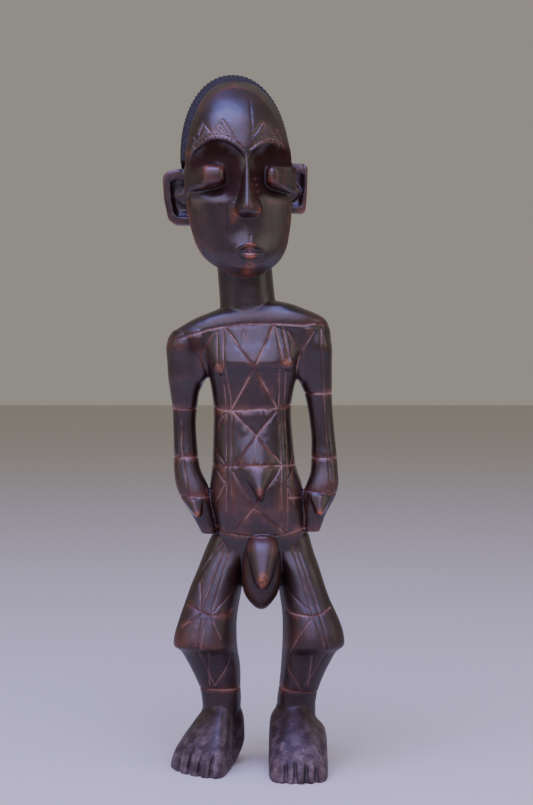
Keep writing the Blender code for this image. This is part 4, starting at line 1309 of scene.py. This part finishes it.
STROKES = [
    # The line across the shoulders, and the crossed lines of the chest
    *strokes(
        Cut.BOLD,
        (
            (-84.9, 428.8), (-67.4, 431.3), (-44.7, 438.1), (-29.6, 441.3), (-7, 443.9), (21.3, 444.4),
            (49.4, 442.6), (69.6, 445.7), (76, 445),
        ),
        ((-27, 440.7), (1.8, 401.1), (20.6, 367.9), (24, 360.5)),
        ((20.6, 442), (1.8, 401.1), (-20.9, 360.4)), ((-52.4, 413.5), (-44.5, 391.7)),
        ((48.5, 421.9), (44.7, 406.8), (43.4, 396.7)),
    ),
    *strokes(
        Cut.SCRATCH,
        ((-8.9, 438.1), (-9.7, 420.6)),
    ),
    *strokes(
        Cut.FINE,
        ((-35.3, 437.2), (-34.7, 404.3)), ((-29, 439.4), (-29, 404.3)),
        ((-30.9, 399.3), (-27.1, 371.7), (-26.5, 360)), ((-27, 399.3), (-22, 371.7), (-21.4, 360)),
        ((22.5, 442.1), (29.4, 409.3)), ((29.5, 442.1), (36.4, 406.8)), ((26.5, 399), (25.6, 361)),
        ((32.5, 397), (30.7, 361)), ((-38.5, 435.7), (-47.4, 421.9), (-51.2, 411.8)),
        ((34.5, 437), (43.3, 421.9)),
    ),
    # The panel of the belly
    *strokes(
        Cut.BOLD,
        ((-20.5, 358), (3.7, 333.5), (28.2, 306.5)), ((23.5, 358), (3.7, 333.5), (-18.7, 305)),
    ),
    *strokes(
        Cut.FINE,
        ((-25.9, 359), (-25.9, 238)), ((-20.8, 358.5), (-20.8, 237.3)),
        ((25.6, 360.5), (28.2, 304.3), (28.2, 237.2)), ((30.7, 360.4), (33.7, 306.2), (34.5, 240)),
        ((-33.6, 346.3), (-27.2, 355.2)), ((-37.5, 318.6), (-27.3, 305.9)),
        ((37.1, 305.9), (42.1, 319.8)), ((-36, 300), (-27, 288), (-36, 268)),
        ((40, 300), (33, 288), (40, 268)),
    ),
    # The crossed lines below the navel, and the line over the hips
    *strokes(
        Cut.BOLD,
        ((-19.5, 299.3), (1.2, 263.5), (31.9, 237.7)),
        ((28.1, 303.1), (11.8, 278.1), (1.2, 263.5), (-17, 240.3)),
        (
            (-36.1, 241.9), (-26, 236.7), (-13.4, 235.5), (5.5, 233.8), (17.9, 234.1), (31.8, 236.1),
            (44.6, 239.3), (52.5, 241.2),
        ),
    ),
    # The arms
    *strokes(
        Cut.FINE,
        ((61.2, 437.3), (49.8, 419.4)),
        (
            (67.6, 441.3), (68.7, 409.5), (70.2, 383.7), (71.4, 362.8), (73.4, 330.9), (75.3, 312),
            (76.6, 292.5), (78.5, 278.5),
        ),
        ((-71.4, 347.8), (-71.4, 324.2), (-68.9, 305.1), (-65.7, 285.9), (-64.5, 274.9)),
        ((-46.6, 282.4), (-41.7, 264.4), (-37, 243.9)), ((52.8, 280.4), (50.8, 241.9)),
    ),
    # The left leg
    *strokes(
        Cut.FINE,
        ((-27.4, 226.1), (-50.7, 163.8)), ((-23.5, 219.2), (-40.3, 160.8)),
        ((-29.4, 228.3), (-50.6, 200.5)), ((-51.9, 188.5), (-51.3, 163.4)),
        ((-41.7, 158.4), (-31.2, 135.8)), ((-19.5, 180.9), (-39.3, 159.7)),
        ((-51, 159.4), (-70.7, 146.3)), ((-45.6, 154.7), (-49.6, 133.6), (-50.9, 125.6)),
        ((-51.7, 154.7), (-56.2, 128.3)),
        ((-55.4, 121), (-46.9, 104.1), (-38.0, 84.6), (-27.5, 101.7), (-20.5, 118.8)),
        ((-44.5, 121), (-43.3, 84.6)),
    ),
    *strokes(
        Cut.BOLD,
        ((-64.2, 168.3), (-52.4, 162.4), (-41.8, 157.8), (-19.5, 159.1)),
    ),
    # The right leg
    *strokes(
        Cut.FINE,
        ((38.6, 224.9), (57, 165.5), (71.5, 125.7)), ((43.8, 222.2), (64.9, 161.5), (75.6, 127)),
        ((30.7, 183.7), (55.8, 162.5)), ((56.9, 154.6), (45.1, 137.4), (35.6, 120.1)),
        ((40.6, 118.8), (34.6, 104.1), (49.2, 79.7), (63.7, 104.1), (73, 118.8)), ((58.9, 118), (55, 84)),
    ),
    *strokes(
        Cut.BOLD,
        ((33.3, 159.4), (56.9, 157.3), (68.8, 159.4), (76.7, 164.6)),
    ),
    # The zigzags above the brows and their hatching
    *strokes(
        Cut.FINE,
        ((-38.2, 629.2), (-29.0, 642.3), (-15.8, 621.8)),
        ((-51.8, 627.8), (-47.7, 639.2), (-40.8, 629.3)), ((1.1, 626.6), (10.0, 639.5), (19.1, 628.8)),
        ((20.3, 628.9), (23.2, 633.4), (30.6, 618.6)),
    ),
    *strokes(
        Cut.SCRATCH,
        *[((-36 + k * 3.4, 630.5 - abs(k - 2) * 1.5), (-31.5 + k * 3.0, 636.5 - k * 3.2)) for k in range(5)],
    ),
    *hatching(4, (-28, 640), (-2.6, -3.2), (-22.5, 628.5), (-1.2, -0.6)),
    *hatching(4, (3.6, 628.4), (3.2, 0.0), (8.0, 636.5), (2.2, -1.8)),
    *hatching(4, (11.5, 636), (2.0, -2.6), (8.5, 628.0), (2.6, 0.0)),
    *hatching(4, (-50, 628.2), (2.6, 0.0), (-48, 635), (1.6, -1.6)),
    *strokes(
        Cut.FINE,
        ((-58, 616), (-50, 622.6), (-41, 626.2), (-33, 627), (-24, 625), (-15, 619.5), (-8.5, 612.5)),
        ((-2.5, 612.5), (5, 619), (12, 623.2), (18, 624.4), (24, 623.6), (31, 618)),
    ),
    *fringe(10, (-52, 619), (-50.4, 624), step=3.6, rise=5.4, bend=2.9),
    *fringe(9, (2, 615.6), (3.4, 620.6), step=3.4, rise=5.0, bend=2.5),
    # The old crack in the forehead, and the scratches at the temple, beside the nose and above the lip
    *strokes(
        Cut.CRACK,
        ((-2.5, 662.2), (-1.8, 649.8), (-0.3, 635.1), (-0.6, 622.9)),
    ),
    *strokes(
        Cut.SCRATCH,
        ((-57.2, 625.5), (-53.5, 621.1), (-56.4, 616.7), (-54.2, 612.3)),
        (
            (-1.3, 583.9), (3.7, 586.1), (-1.7, 576.4), (4.8, 579.7), (-1.7, 568.9), (5.8, 573.2),
            (0.5, 561.4), (6.9, 566.8),
        ),
        ((-2.2, 529.3), (-2.2, 524.4)),
    ),
]

BANDS = [
    Band(
        (0, 0),
        (
            (-38.5, 361.5), (-31, 359), (-20.9, 358.3), (1.8, 359.6), (20.6, 360.3), (29.5, 361.5),
            (37, 363.5),
        ),
    ),
    Band((0, 0), ((-40, 304.3), (44, 304.3))),
    Band((-68, 2), ((-82, 359.7), (-55, 359.7))),
    Band((-67, -1), ((-82, 311.5), (-55, 311.5))),
    Band((-57, -8), ((-74, 272.4), (-42, 272.4))),
    Band((65, 2), ((50, 375), (80, 375))),
    Band((71, -1), ((58, 310.9), (84, 310.9))),
    Band((68, -7), ((54, 278.4), (82, 275.6))),
    Band((-33, 1), ((-52, 79.9), (-14, 79.9))),
    Band((45, -1), ((25.7, 81.1), (65, 76))),
]


def linear(hex_colour: str) -> tuple[float, float, float, float]:
    """Turns an sRGB hex colour into Blender's linear values.

    Args:
        hex_colour: the colour, such as "#3b2420".

    Returns:
        The linear red, green and blue, and a full alpha.
    """
    parts = [int(hex_colour[i : i + 2], 16) / 255 for i in (1, 3, 5)]
    red, green, blue = (p / 12.92 if p <= 0.04045 else ((p + 0.055) / 1.055) ** 2.4 for p in parts)
    return red, green, blue, 1.0


@dataclass(frozen=True)
class WaxedHardwood:
    """Dense tropical hardwood, adzed and knifed, stained dark, then waxed and handled for years.

    The wax gives a soft gloss with a cool lift where a plane faces the light. The stain has worn back to
    red and orange wood on the points that hands touch, pale dust lies in the cuts, and the grain runs up
    the figure.
    """

    name: str = "waxed_dark_hardwood"
    stain: str = "#190d0c"
    stain_warm: str = "#2c1711"
    bare_wood: str = "#6e3a24"
    cut_wood: str = "#5e2d1d"
    worn_wood: str = "#a85c36"
    dust: str = "#b0897a"
    foot_stain: str = "#382b30"
    foot_dust: str = "#85716f"
    hair_stain: str = "#17130f"
    # Painted shade: the dull dark red-brown laid in the eye sockets under the brows; the same colour marks a
    # real dark knot on the left shoulder
    socket_shade_and_knot_stain: str = "#2b140b"
    # Painted shade: the near-black laid into the hollows in place of occlusion
    painted_cavity_shade: str = "#150b09"
    roughness: float = 0.32
    smoother: float = 0.05
    rougher: float = 0.12
    # How rough the wood is where the wax has not reached or has gone
    dull_parts: tuple[tuple[str, float], ...] = (
        ("recess", 0.72), ("hair", 0.8), ("foot", 0.66), ("groove", 0.75), ("legs", 0.46),
    )
    index_of_refraction: float = 1.55
    gloss: float = 0.5
    recess_gloss: float = 0.12
    wax_coat: float = 0.25
    wax_roughness: float = 0.28
    # The sizes of the patterns, in millimetres, and how little the grain changes along the figure
    grain_width: float = 1.6
    grain_stretch: float = 0.045
    speck_size: float = 2.2
    blotch_size: float = 11.0
    fill_size: float = 24.0
    patch_size: float = 45.0
    tool_mark: float = 9.0
    tool_mark_softness: float = 0.35
    # How strongly and how deeply, in millimetres, each pattern lifts the surface
    facet_bump: Point = (0.35, 0.6)
    grain_bump: Point = (0.25, 0.2)
    speck_bump: Point = (0.32, 0.2)
    foot_share: float = 0.6
    # How far the hollows are darkened towards the painted shade
    painted_cavity_shade_share: float = 0.3

    def build(self) -> bpy.types.Material:
        """Builds the material.

        Returns:
            The material, which reads Object coordinates and the marks that the carving carries.
        """
        material = bpy.data.materials.new(self.name)
        material.use_nodes = True
        tree = material.node_tree
        tree.nodes.clear()
        place = node(tree, "ShaderNodeTexCoord").outputs["Object"]

        def ease(
            value: object, low: float, high: float, to_low: float = 0.0, to_high: float = 1.0
        ) -> Socket:
            """Spreads part of a value's range over another."""
            links = {0: value, 1: low, 2: high, 3: to_low, 4: to_high}
            return node(tree, "ShaderNodeMapRange", {"clamp": True}, links).outputs[0]

        def times(first: object, second: object) -> Socket:
            """Multiplies two values."""
            return node(tree, "ShaderNodeMath", {"operation": "MULTIPLY"}, {0: first, 1: second}).outputs[0]

        mark = {}
        for name in ("recess", "edge", "hair", "worn", "foot", "groove", "hollow", "legs"):
            mark[name] = node(tree, "ShaderNodeAttribute", {"attribute_name": name}).outputs["Fac"]
        stretch = {"Vector": place, "Scale": (1.0, 1.0, self.grain_stretch)}
        along = node(tree, "ShaderNodeMapping", None, stretch).outputs[0]
        patterns = []
        for size, detail, uneven, where in (
            (self.patch_size, 3.0, 0.5, place),
            (self.grain_width, 4.0, 0.6, along),
            (self.speck_size, 4.0, 0.7, place),
            (self.blotch_size, 3.0, 0.5, place),
            (self.fill_size, 2.0, 0.5, place),
        ):
            links = {"Vector": where, "Scale": 1 / (size * MM), "Detail": detail, "Roughness": uneven}
            patterns.append(node(tree, "ShaderNodeTexNoise", None, links).outputs[0])
        patches, grain, specks, blotches, fill = patterns
        cells = {"Vector": place, "Scale": 1 / (self.tool_mark * MM), "Smoothness": self.tool_mark_softness}
        facets = node(tree, "ShaderNodeTexVoronoi", {"feature": "SMOOTH_F1"}, cells).outputs[0]

        mottle = times(ease(patches, 0.38, 0.66, 0.15, 1.0), ease(blotches, 0.35, 0.65, 0.3, 1.0))
        dusty = times(mark["foot"], times(ease(blotches, 0.42, 0.66), ease(specks, 0.3, 0.7)))
        filled = times(mark["groove"], times(ease(fill, 0.46, 0.58), ease(specks, 0.35, 0.6, 0.35, 0.95)))
        colour = linear(self.stain)
        for share, over in (
            (mottle, self.stain_warm),
            (ease(grain, 0.52, 0.8, 0.0, 0.34), self.bare_wood),
            # painted shade in the eye sockets, and the dark knot on the shoulder
            (mark["recess"], self.socket_shade_and_knot_stain),
            (times(mark["edge"], ease(patches, 0.4, 0.62, 0.15, 0.9)), self.bare_wood),
            (mark["hair"], self.hair_stain),
            (times(mark["worn"], ease(specks, 0.4, 0.56)), self.worn_wood),
            (times(mark["foot"], self.foot_share), self.foot_stain),
            (dusty, self.foot_dust),
            (times(mark["groove"], ease(specks, 0.25, 0.6, 0.8, 1.0)), self.cut_wood),
            (filled, self.dust),
            # painted shade in the hollows
            (times(mark["hollow"], self.painted_cavity_shade_share), self.painted_cavity_shade),
        ):
            links = {"Factor": share, 6: colour, 7: linear(over)}
            colour = node(tree, "ShaderNodeMix", {"data_type": "RGBA"}, links).outputs[2]

        rough = ease(patches, 0.3, 0.7, self.roughness - self.smoother, self.roughness + self.rougher)
        waxed = 1.0
        for kind, least in self.dull_parts:
            links = {0: rough, 1: times(mark[kind], least)}
            rough = node(tree, "ShaderNodeMath", {"operation": "MAXIMUM"}, links).outputs[0]
            waxed = times(waxed, ease(mark[kind], 0.0, 1.0, 1.0, 0.0))
        lifted = {}
        for height, (strength, depth) in (
            (facets, self.facet_bump),
            (grain, self.grain_bump),
            (specks, self.speck_bump),
        ):
            links = {"Strength": strength, "Distance": depth * MM, "Height": height, **lifted}
            lifted = {"Normal": node(tree, "ShaderNodeBump", None, links).outputs[0]}
        surface = {
            "Base Color": colour,
            "Roughness": rough,
            "IOR": self.index_of_refraction,
            "Specular IOR Level": ease(mark["recess"], 0.0, 1.0, self.gloss, self.recess_gloss),
            "Coat Weight": times(waxed, self.wax_coat),
            "Coat Roughness": self.wax_roughness,
            **lifted,
        }
        shader = node(tree, "ShaderNodeBsdfPrincipled", None, surface)
        node(tree, "ShaderNodeOutputMaterial", None, {0: shader.outputs[0]})
        return material


@dataclass(frozen=True)
class MattCard:
    """Matt painted card for the floor: an even pale ground that shows only the soft shadow."""

    name: str = "pale_matt_card"
    colour: str = "#d6d2c8"
    roughness: float = 0.9

    def build(self) -> bpy.types.Material:
        """Builds the material.

        Returns:
            The material.
        """
        material = bpy.data.materials.new(self.name)
        material.use_nodes = True
        tree = material.node_tree
        tree.nodes.clear()
        surface = {"Base Color": linear(self.colour), "Roughness": self.roughness}
        shader = node(tree, "ShaderNodeBsdfPrincipled", None, surface)
        node(tree, "ShaderNodeOutputMaterial", None, {0: shader.outputs[0]})
        return material


@dataclass
class Carver:
    """Cuts the lines and the hair into the carving, and leaves on it the marks that the finish reads."""

    hair_pitch: float = 3.7
    hair_row: float = 5.2
    hair_depth: float = 1.0
    hair_radius: float = 70.0
    hair_middle: Spot = (-17.6, 12.0, 607.0)
    # How near the cap of hair the surface counts as hair, and how narrow the cuts along and across are
    hair_reach: float = 0.9
    pitch_sharpness: float = 3.6
    row_sharpness: float = 5.5
    groove_power: float = 0.8
    # Over how many rounds the surface is settled to find the worn edges and the hollows that take painted
    # shade, and what is too little to mark
    edge_rounds: int = 6
    edge_least: float = 0.45
    hollow_rounds: int = 24
    hollow_least: float = 0.3
    worn_strength: float = 1.0
    recess_strength: float = 2.2
    foot_strength: float = 1.8
    leg_strength: float = 4.0
    # The eye sockets under the brows, darkened and dulled as painted shade, and (the last spot) a dark knot
    # on the left shoulder
    recesses: tuple[Spot, ...] = (
        (-52, -48, 598), (-42, -52, 606), (-30, -53, 608), (-20, -54, 600), (-17, -56, 586),
        (-20, -56, 574), (3, -52, 586), (5, -47, 600), (14, -40, 606), (25, -34, 603), (34, -26, 598),
        (5, -54, 576), (-38, -52, 614), (16, -38, 613), (27, -30, 612), (38, -24, 606), (-57, -13, 423),
    )
    worn_spots: tuple[Spot, ...] = (
        (-32.1, -34, 401), (33.6, -34, 405.8), (6.9, -52, 279), (-55, -28, 253.5), (66.5, -28, 256),
        (9.6, -62, 190), (9.6, -60, 197), (-5, -52, 494), (-2, -58, 499), (-27, -62, 598),
        (-50, -60, 572), (-36, -63, 572), (-2.4, -68, 519), (-2.2, -68, 509), (-17, -62, 550),
        (6, -61, 551), (28, -54, 572),
    )

    def line_recipe(self) -> Recipe:
        """Builds the tree that cuts a groove along helper lines and marks it.

        Returns:
            The tree.
        """
        recipe = Recipe(
            "cut_lines",
            {
                "Lines": ("NodeSocketObject", None),
                "Depth": ("NodeSocketFloat", 0.001),
                "Half Width": ("NodeSocketFloat", 0.001),
                "Dust": ("NodeSocketFloat", 1.0),
                "Material": ("NodeSocketMaterial", None),
            },
        )
        source = recipe.source.outputs
        near = recipe.math("DIVIDE", recipe.distance("Lines", "EDGES"), source["Half Width"])
        share = recipe.clamped(recipe.math("SUBTRACT", 1.0, near))
        down = recipe.math("MULTIPLY", recipe.math("POWER", share, self.groove_power), source["Depth"])
        kind = {"data_type": "FLOAT"}
        before = recipe.add("GeometryNodeInputNamedAttribute", kind, {"Name": "groove"}).outputs[0]
        groove = recipe.math("MAXIMUM", before, recipe.math("MULTIPLY", share, source["Dust"]))
        links = {"Geometry": source["Geometry"], "Name": "groove", "Value": groove}
        stored = recipe.add("GeometryNodeStoreNamedAttribute", POINT_NUMBER, links).outputs[0]
        recipe.end(recipe.sink(stored, down))
        return recipe

    def hair_recipe(self) -> Recipe:
        """Builds the tree that cuts the hair into rows of short ridges, and marks it.

        Returns:
            The tree.
        """
        recipe = Recipe(
            "cut_hair",
            {
                "Hair": ("NodeSocketObject", None),
                "Reach": ("NodeSocketFloat", 0.0009),
                "Pitch": ("NodeSocketFloat", 0.0037),
                "Row": ("NodeSocketFloat", 0.0052),
                "Depth": ("NodeSocketFloat", 0.001),
                "Radius": ("NodeSocketFloat", 0.07),
                "Middle": ("NodeSocketVector", (0.0, 0.0, 0.0)),
                "Material": ("NodeSocketMaterial", None),
            },
        )
        source = recipe.source.outputs
        on_hair = recipe.math("LESS_THAN", recipe.distance("Hair", "FACES"), source["Reach"])
        place = recipe.add("GeometryNodeInputPosition").outputs[0]
        offset = recipe.vector("SUBTRACT", {0: place, 1: source["Middle"]})
        parts = recipe.add("ShaderNodeSeparateXYZ", None, {0: offset}).outputs
        around = recipe.math("MULTIPLY", recipe.math("ARCTAN2", parts[0], parts[2]), source["Radius"])
        ways = (
            (around, source["Pitch"], self.pitch_sharpness),
            (parts[1], source["Row"], self.row_sharpness),
        )
        lines = []
        for value, pitch, sharp in ways:
            saw = recipe.math("PINGPONG", recipe.math("DIVIDE", value, pitch), 0.5)
            line = recipe.math("SUBTRACT", 1.0, recipe.math("MULTIPLY", saw, sharp))
            lines.append(recipe.math("MAXIMUM", line, 0.0))
        cuts = recipe.math("MULTIPLY", recipe.math("MAXIMUM", *lines), on_hair)
        links = {"Geometry": source["Geometry"], "Name": "hair", "Value": on_hair}
        stored = recipe.add("GeometryNodeStoreNamedAttribute", POINT_NUMBER, links).outputs[0]
        recipe.end(recipe.sink(stored, recipe.math("MULTIPLY", cuts, source["Depth"])))
        return recipe

    def mark_recipe(self) -> Recipe:
        """Builds the tree that marks worn edges, the hollows and eye sockets that take painted shade, a dark
        knot, handled spots and the feet.

        Returns:
            The tree.
        """
        recipe = Recipe(
            "mark_wear",
            {
                "Spots": ("NodeSocketObject", None),
                "Recesses": ("NodeSocketObject", None),
                "Spot Size": ("NodeSocketFloat", 0.007),
                "Recess Size": ("NodeSocketFloat", 0.013),
                "Edge Size": ("NodeSocketFloat", 0.0007),
                "Hollow Size": ("NodeSocketFloat", 0.0012),
                "Foot Height": ("NodeSocketFloat", 0.06),
                "Leg Height": ("NodeSocketFloat", 0.24),
                "Material": ("NodeSocketMaterial", None),
            },
        )
        source = recipe.source.outputs
        place = recipe.add("GeometryNodeInputPosition").outputs[0]
        normal = recipe.add("GeometryNodeInputNormal").outputs[0]

        def bulge(rounds: int, size: str) -> Socket:
            """Measures how far the surface stands out of its own surroundings."""
            links = {"Value": place, "Iterations": rounds}
            settled = recipe.add("GeometryNodeBlurAttribute", {"data_type": "FLOAT_VECTOR"}, links).outputs[0]
            away = recipe.vector("SUBTRACT", {0: place, 1: settled})
            out = recipe.vector("DOT_PRODUCT", {0: away, 1: normal}, "Value")
            return recipe.math("DIVIDE", out, source[size])

        def fades(distance: Socket, size: str, strength: float) -> Socket:
            """Gives a mark that is full where a distance is nothing and has gone where it reaches a size."""
            share = recipe.math("SUBTRACT", 1.0, recipe.math("DIVIDE", distance, source[size]))
            return recipe.math("MULTIPLY", share, strength)

        near = recipe.distance("Spots", "POINTS")
        inside = recipe.distance("Recesses", "POINTS")
        height = recipe.add("ShaderNodeSeparateXYZ", None, {0: place}).outputs[2]
        # How far the surface sinks below its surroundings: the hollows that are darkened as painted shade
        sunk = recipe.math("MULTIPLY", bulge(self.hollow_rounds, "Hollow Size"), -1.0)
        marks = {
            "edge": recipe.math("SUBTRACT", bulge(self.edge_rounds, "Edge Size"), self.edge_least),
            "hollow": recipe.math("SUBTRACT", sunk, self.hollow_least),
            "worn": fades(near, "Spot Size", self.worn_strength),
            "recess": fades(inside, "Recess Size", self.recess_strength),
            "foot": fades(height, "Foot Height", self.foot_strength),
            "legs": fades(height, "Leg Height", self.leg_strength),
        }
        geometry = source["Geometry"]
        for name, value in marks.items():
            links = {"Geometry": geometry, "Name": name, "Value": recipe.clamped(value)}
            geometry = recipe.add("GeometryNodeStoreNamedAttribute", POINT_NUMBER, links).outputs[0]
        recipe.end(geometry)
        return recipe

    def spots(self, name: str, places: Sequence[Spot]) -> Body:
        """Makes a helper object with a point at each place.

        Args:
            name: the helper's name.
            places: the places on the drawing.

        Returns:
            The helper.
        """
        bm = bmesh.new()
        for spot in places:
            bm.verts.new((Vector(spot) + DRAWING_ORIGIN) * MM)
        return put_in_scene(name, bm)


@dataclass(frozen=True)
class SoftLight:
    """A rectangular soft light that faces the middle of the figure, placed in metres, its power in watts."""

    name: str
    at: Spot
    size: Point
    power: float
    colour: str
    aim: Spot = (0.0, 0.0, 0.4)

    def hang(self) -> None:
        """Hangs the light."""
        data = bpy.data.lights.new(self.name, "AREA")
        data.shape = "RECTANGLE"
        data.size, data.size_y = self.size
        data.energy = self.power
        data.color = linear(self.colour)[:3]
        made = bpy.data.objects.new(self.name, data)
        made.location = self.at
        made.rotation_euler = (Vector(self.aim) - Vector(self.at)).to_track_quat("-Z", "Y").to_euler()
        bpy.context.scene.collection.objects.link(made)


@dataclass
class Studio:
    """The plain pale floor, the soft lights and the camera at the photograph's place."""

    camera_at: Spot = (0.0131, -1.8675, 0.420)
    camera_tilt: float = 1.65
    lens: float = 83.94
    sensor: float = 36.0
    floor_reach: float = 12.0
    lights: tuple[SoftLight, ...] = (
        SoftLight("sky_light", (-0.2, -1.9, 2.4), (3.4, 3.2), 158.0, "#baabdc"),
        SoftLight("upper_sky_light", (-0.3, -0.8, 2.7), (2.0, 1.6), 66.0, "#7f90ff"),
        SoftLight("left_light", (-2.4, -1.2, 1.4), (1.2, 1.8), 8.0, "#fff6ee"),
        SoftLight("right_light", (2.4, -0.8, 1.4), (1.2, 1.8), 10.0, "#fff6ee"),
    )
    even_colour: str = "#ece4d8"
    even_strength: float = 0.36

    def floor(self) -> None:
        """Lays the floor."""
        bm = bmesh.new()
        bmesh.ops.create_grid(bm, x_segments=1, y_segments=1, size=self.floor_reach)
        floor = put_in_scene("studio_floor", bm)
        floor.data.materials.append(MattCard().build())

    def build(self) -> None:
        """Builds the floor, the lights, the even light all round, and the camera."""
        self.floor()
        for light in self.lights:
            light.hang()
        world = bpy.data.worlds.new("even_light")
        bpy.context.scene.world = world
        world.use_nodes = True
        ground = world.node_tree.nodes["Background"]
        ground.inputs["Color"].default_value = linear(self.even_colour)
        ground.inputs["Strength"].default_value = self.even_strength
        data = bpy.data.cameras.new("camera")
        data.lens = self.lens
        data.sensor_width = self.sensor
        camera = bpy.data.objects.new("camera", data)
        camera.location = self.camera_at
        camera.rotation_euler = (math.radians(90 - self.camera_tilt), 0.0, 0.0)
        bpy.context.scene.collection.objects.link(camera)
        bpy.context.scene.camera = camera


@dataclass
class Carving:
    """The finished carving: its forms drawn together, cut, thinned, marked and dressed."""

    figure: Figure
    lines: LineWork
    carver: Carver
    finish: WaxedHardwood

    def build(self) -> Body:
        """Builds the carving.

        Returns:
            The finished piece, a plain mesh with its material and its marks.
        """
        wood = self.finish.build()
        hair = self.figure.head.build_hair()
        body = self.figure.draw_together(self.figure.forms())
        cutter = self.carver.line_recipe()
        worn = self.carver.spots("handled_spots", self.carver.worn_spots)
        recesses = self.carver.spots("recesses", self.carver.recesses)
        helpers = [hair, worn, recesses]
        for cut in Cut:
            helper = self.lines.build(body, cut)
            helpers.append(helper)
            depth, half_width, dust = cut.value
            sizes = {"Depth": depth * MM, "Half Width": half_width * MM}
            cutter.put_on(body, {"Lines": helper, **sizes, "Dust": dust, "Material": wood})
        self.carver.hair_recipe().put_on(
            body,
            {
                "Hair": hair,
                "Reach": self.carver.hair_reach * MM,
                "Pitch": self.carver.hair_pitch * MM,
                "Row": self.carver.hair_row * MM,
                "Depth": self.carver.hair_depth * MM,
                "Radius": self.carver.hair_radius * MM,
                "Middle": (Vector(self.carver.hair_middle) + DRAWING_ORIGIN) * MM,
                "Material": wood,
            },
        )
        apply_modifiers(body)
        triangles = sum(len(face.vertices) - 2 for face in body.data.polygons)
        thin = body.modifiers.new("Thin", "DECIMATE")
        thin.ratio = self.figure.most_faces / triangles
        apply_modifiers(body)
        self.carver.mark_recipe().put_on(body, {"Spots": worn, "Recesses": recesses, "Material": wood})
        apply_modifiers(body)
        for helper in helpers:
            bpy.data.objects.remove(helper)
        body.name = body.data.name = "songye_carving"
        body.data.shade_smooth()
        return body


def main() -> None:
    """Builds the carving and its stage, and reports what was made."""
    logging.basicConfig(level=logging.INFO, format="%(message)s")
    figure = Figure(limbs=[LEFT_ARM, RIGHT_ARM, LEFT_LEG, RIGHT_LEG, LEFT_FOOT, RIGHT_FOOT])
    carving = Carving(figure, LineWork(STROKES, BANDS), Carver(), WaxedHardwood()).build()
    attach(carving, "root")
    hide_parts("carved_figure")
    LOG.info("%s: %d faces", carving.name, len(carving.data.polygons))
    Studio().build()
    LOG.info("stage: floor, lights and camera")


if __name__ == "__main__":
    main()
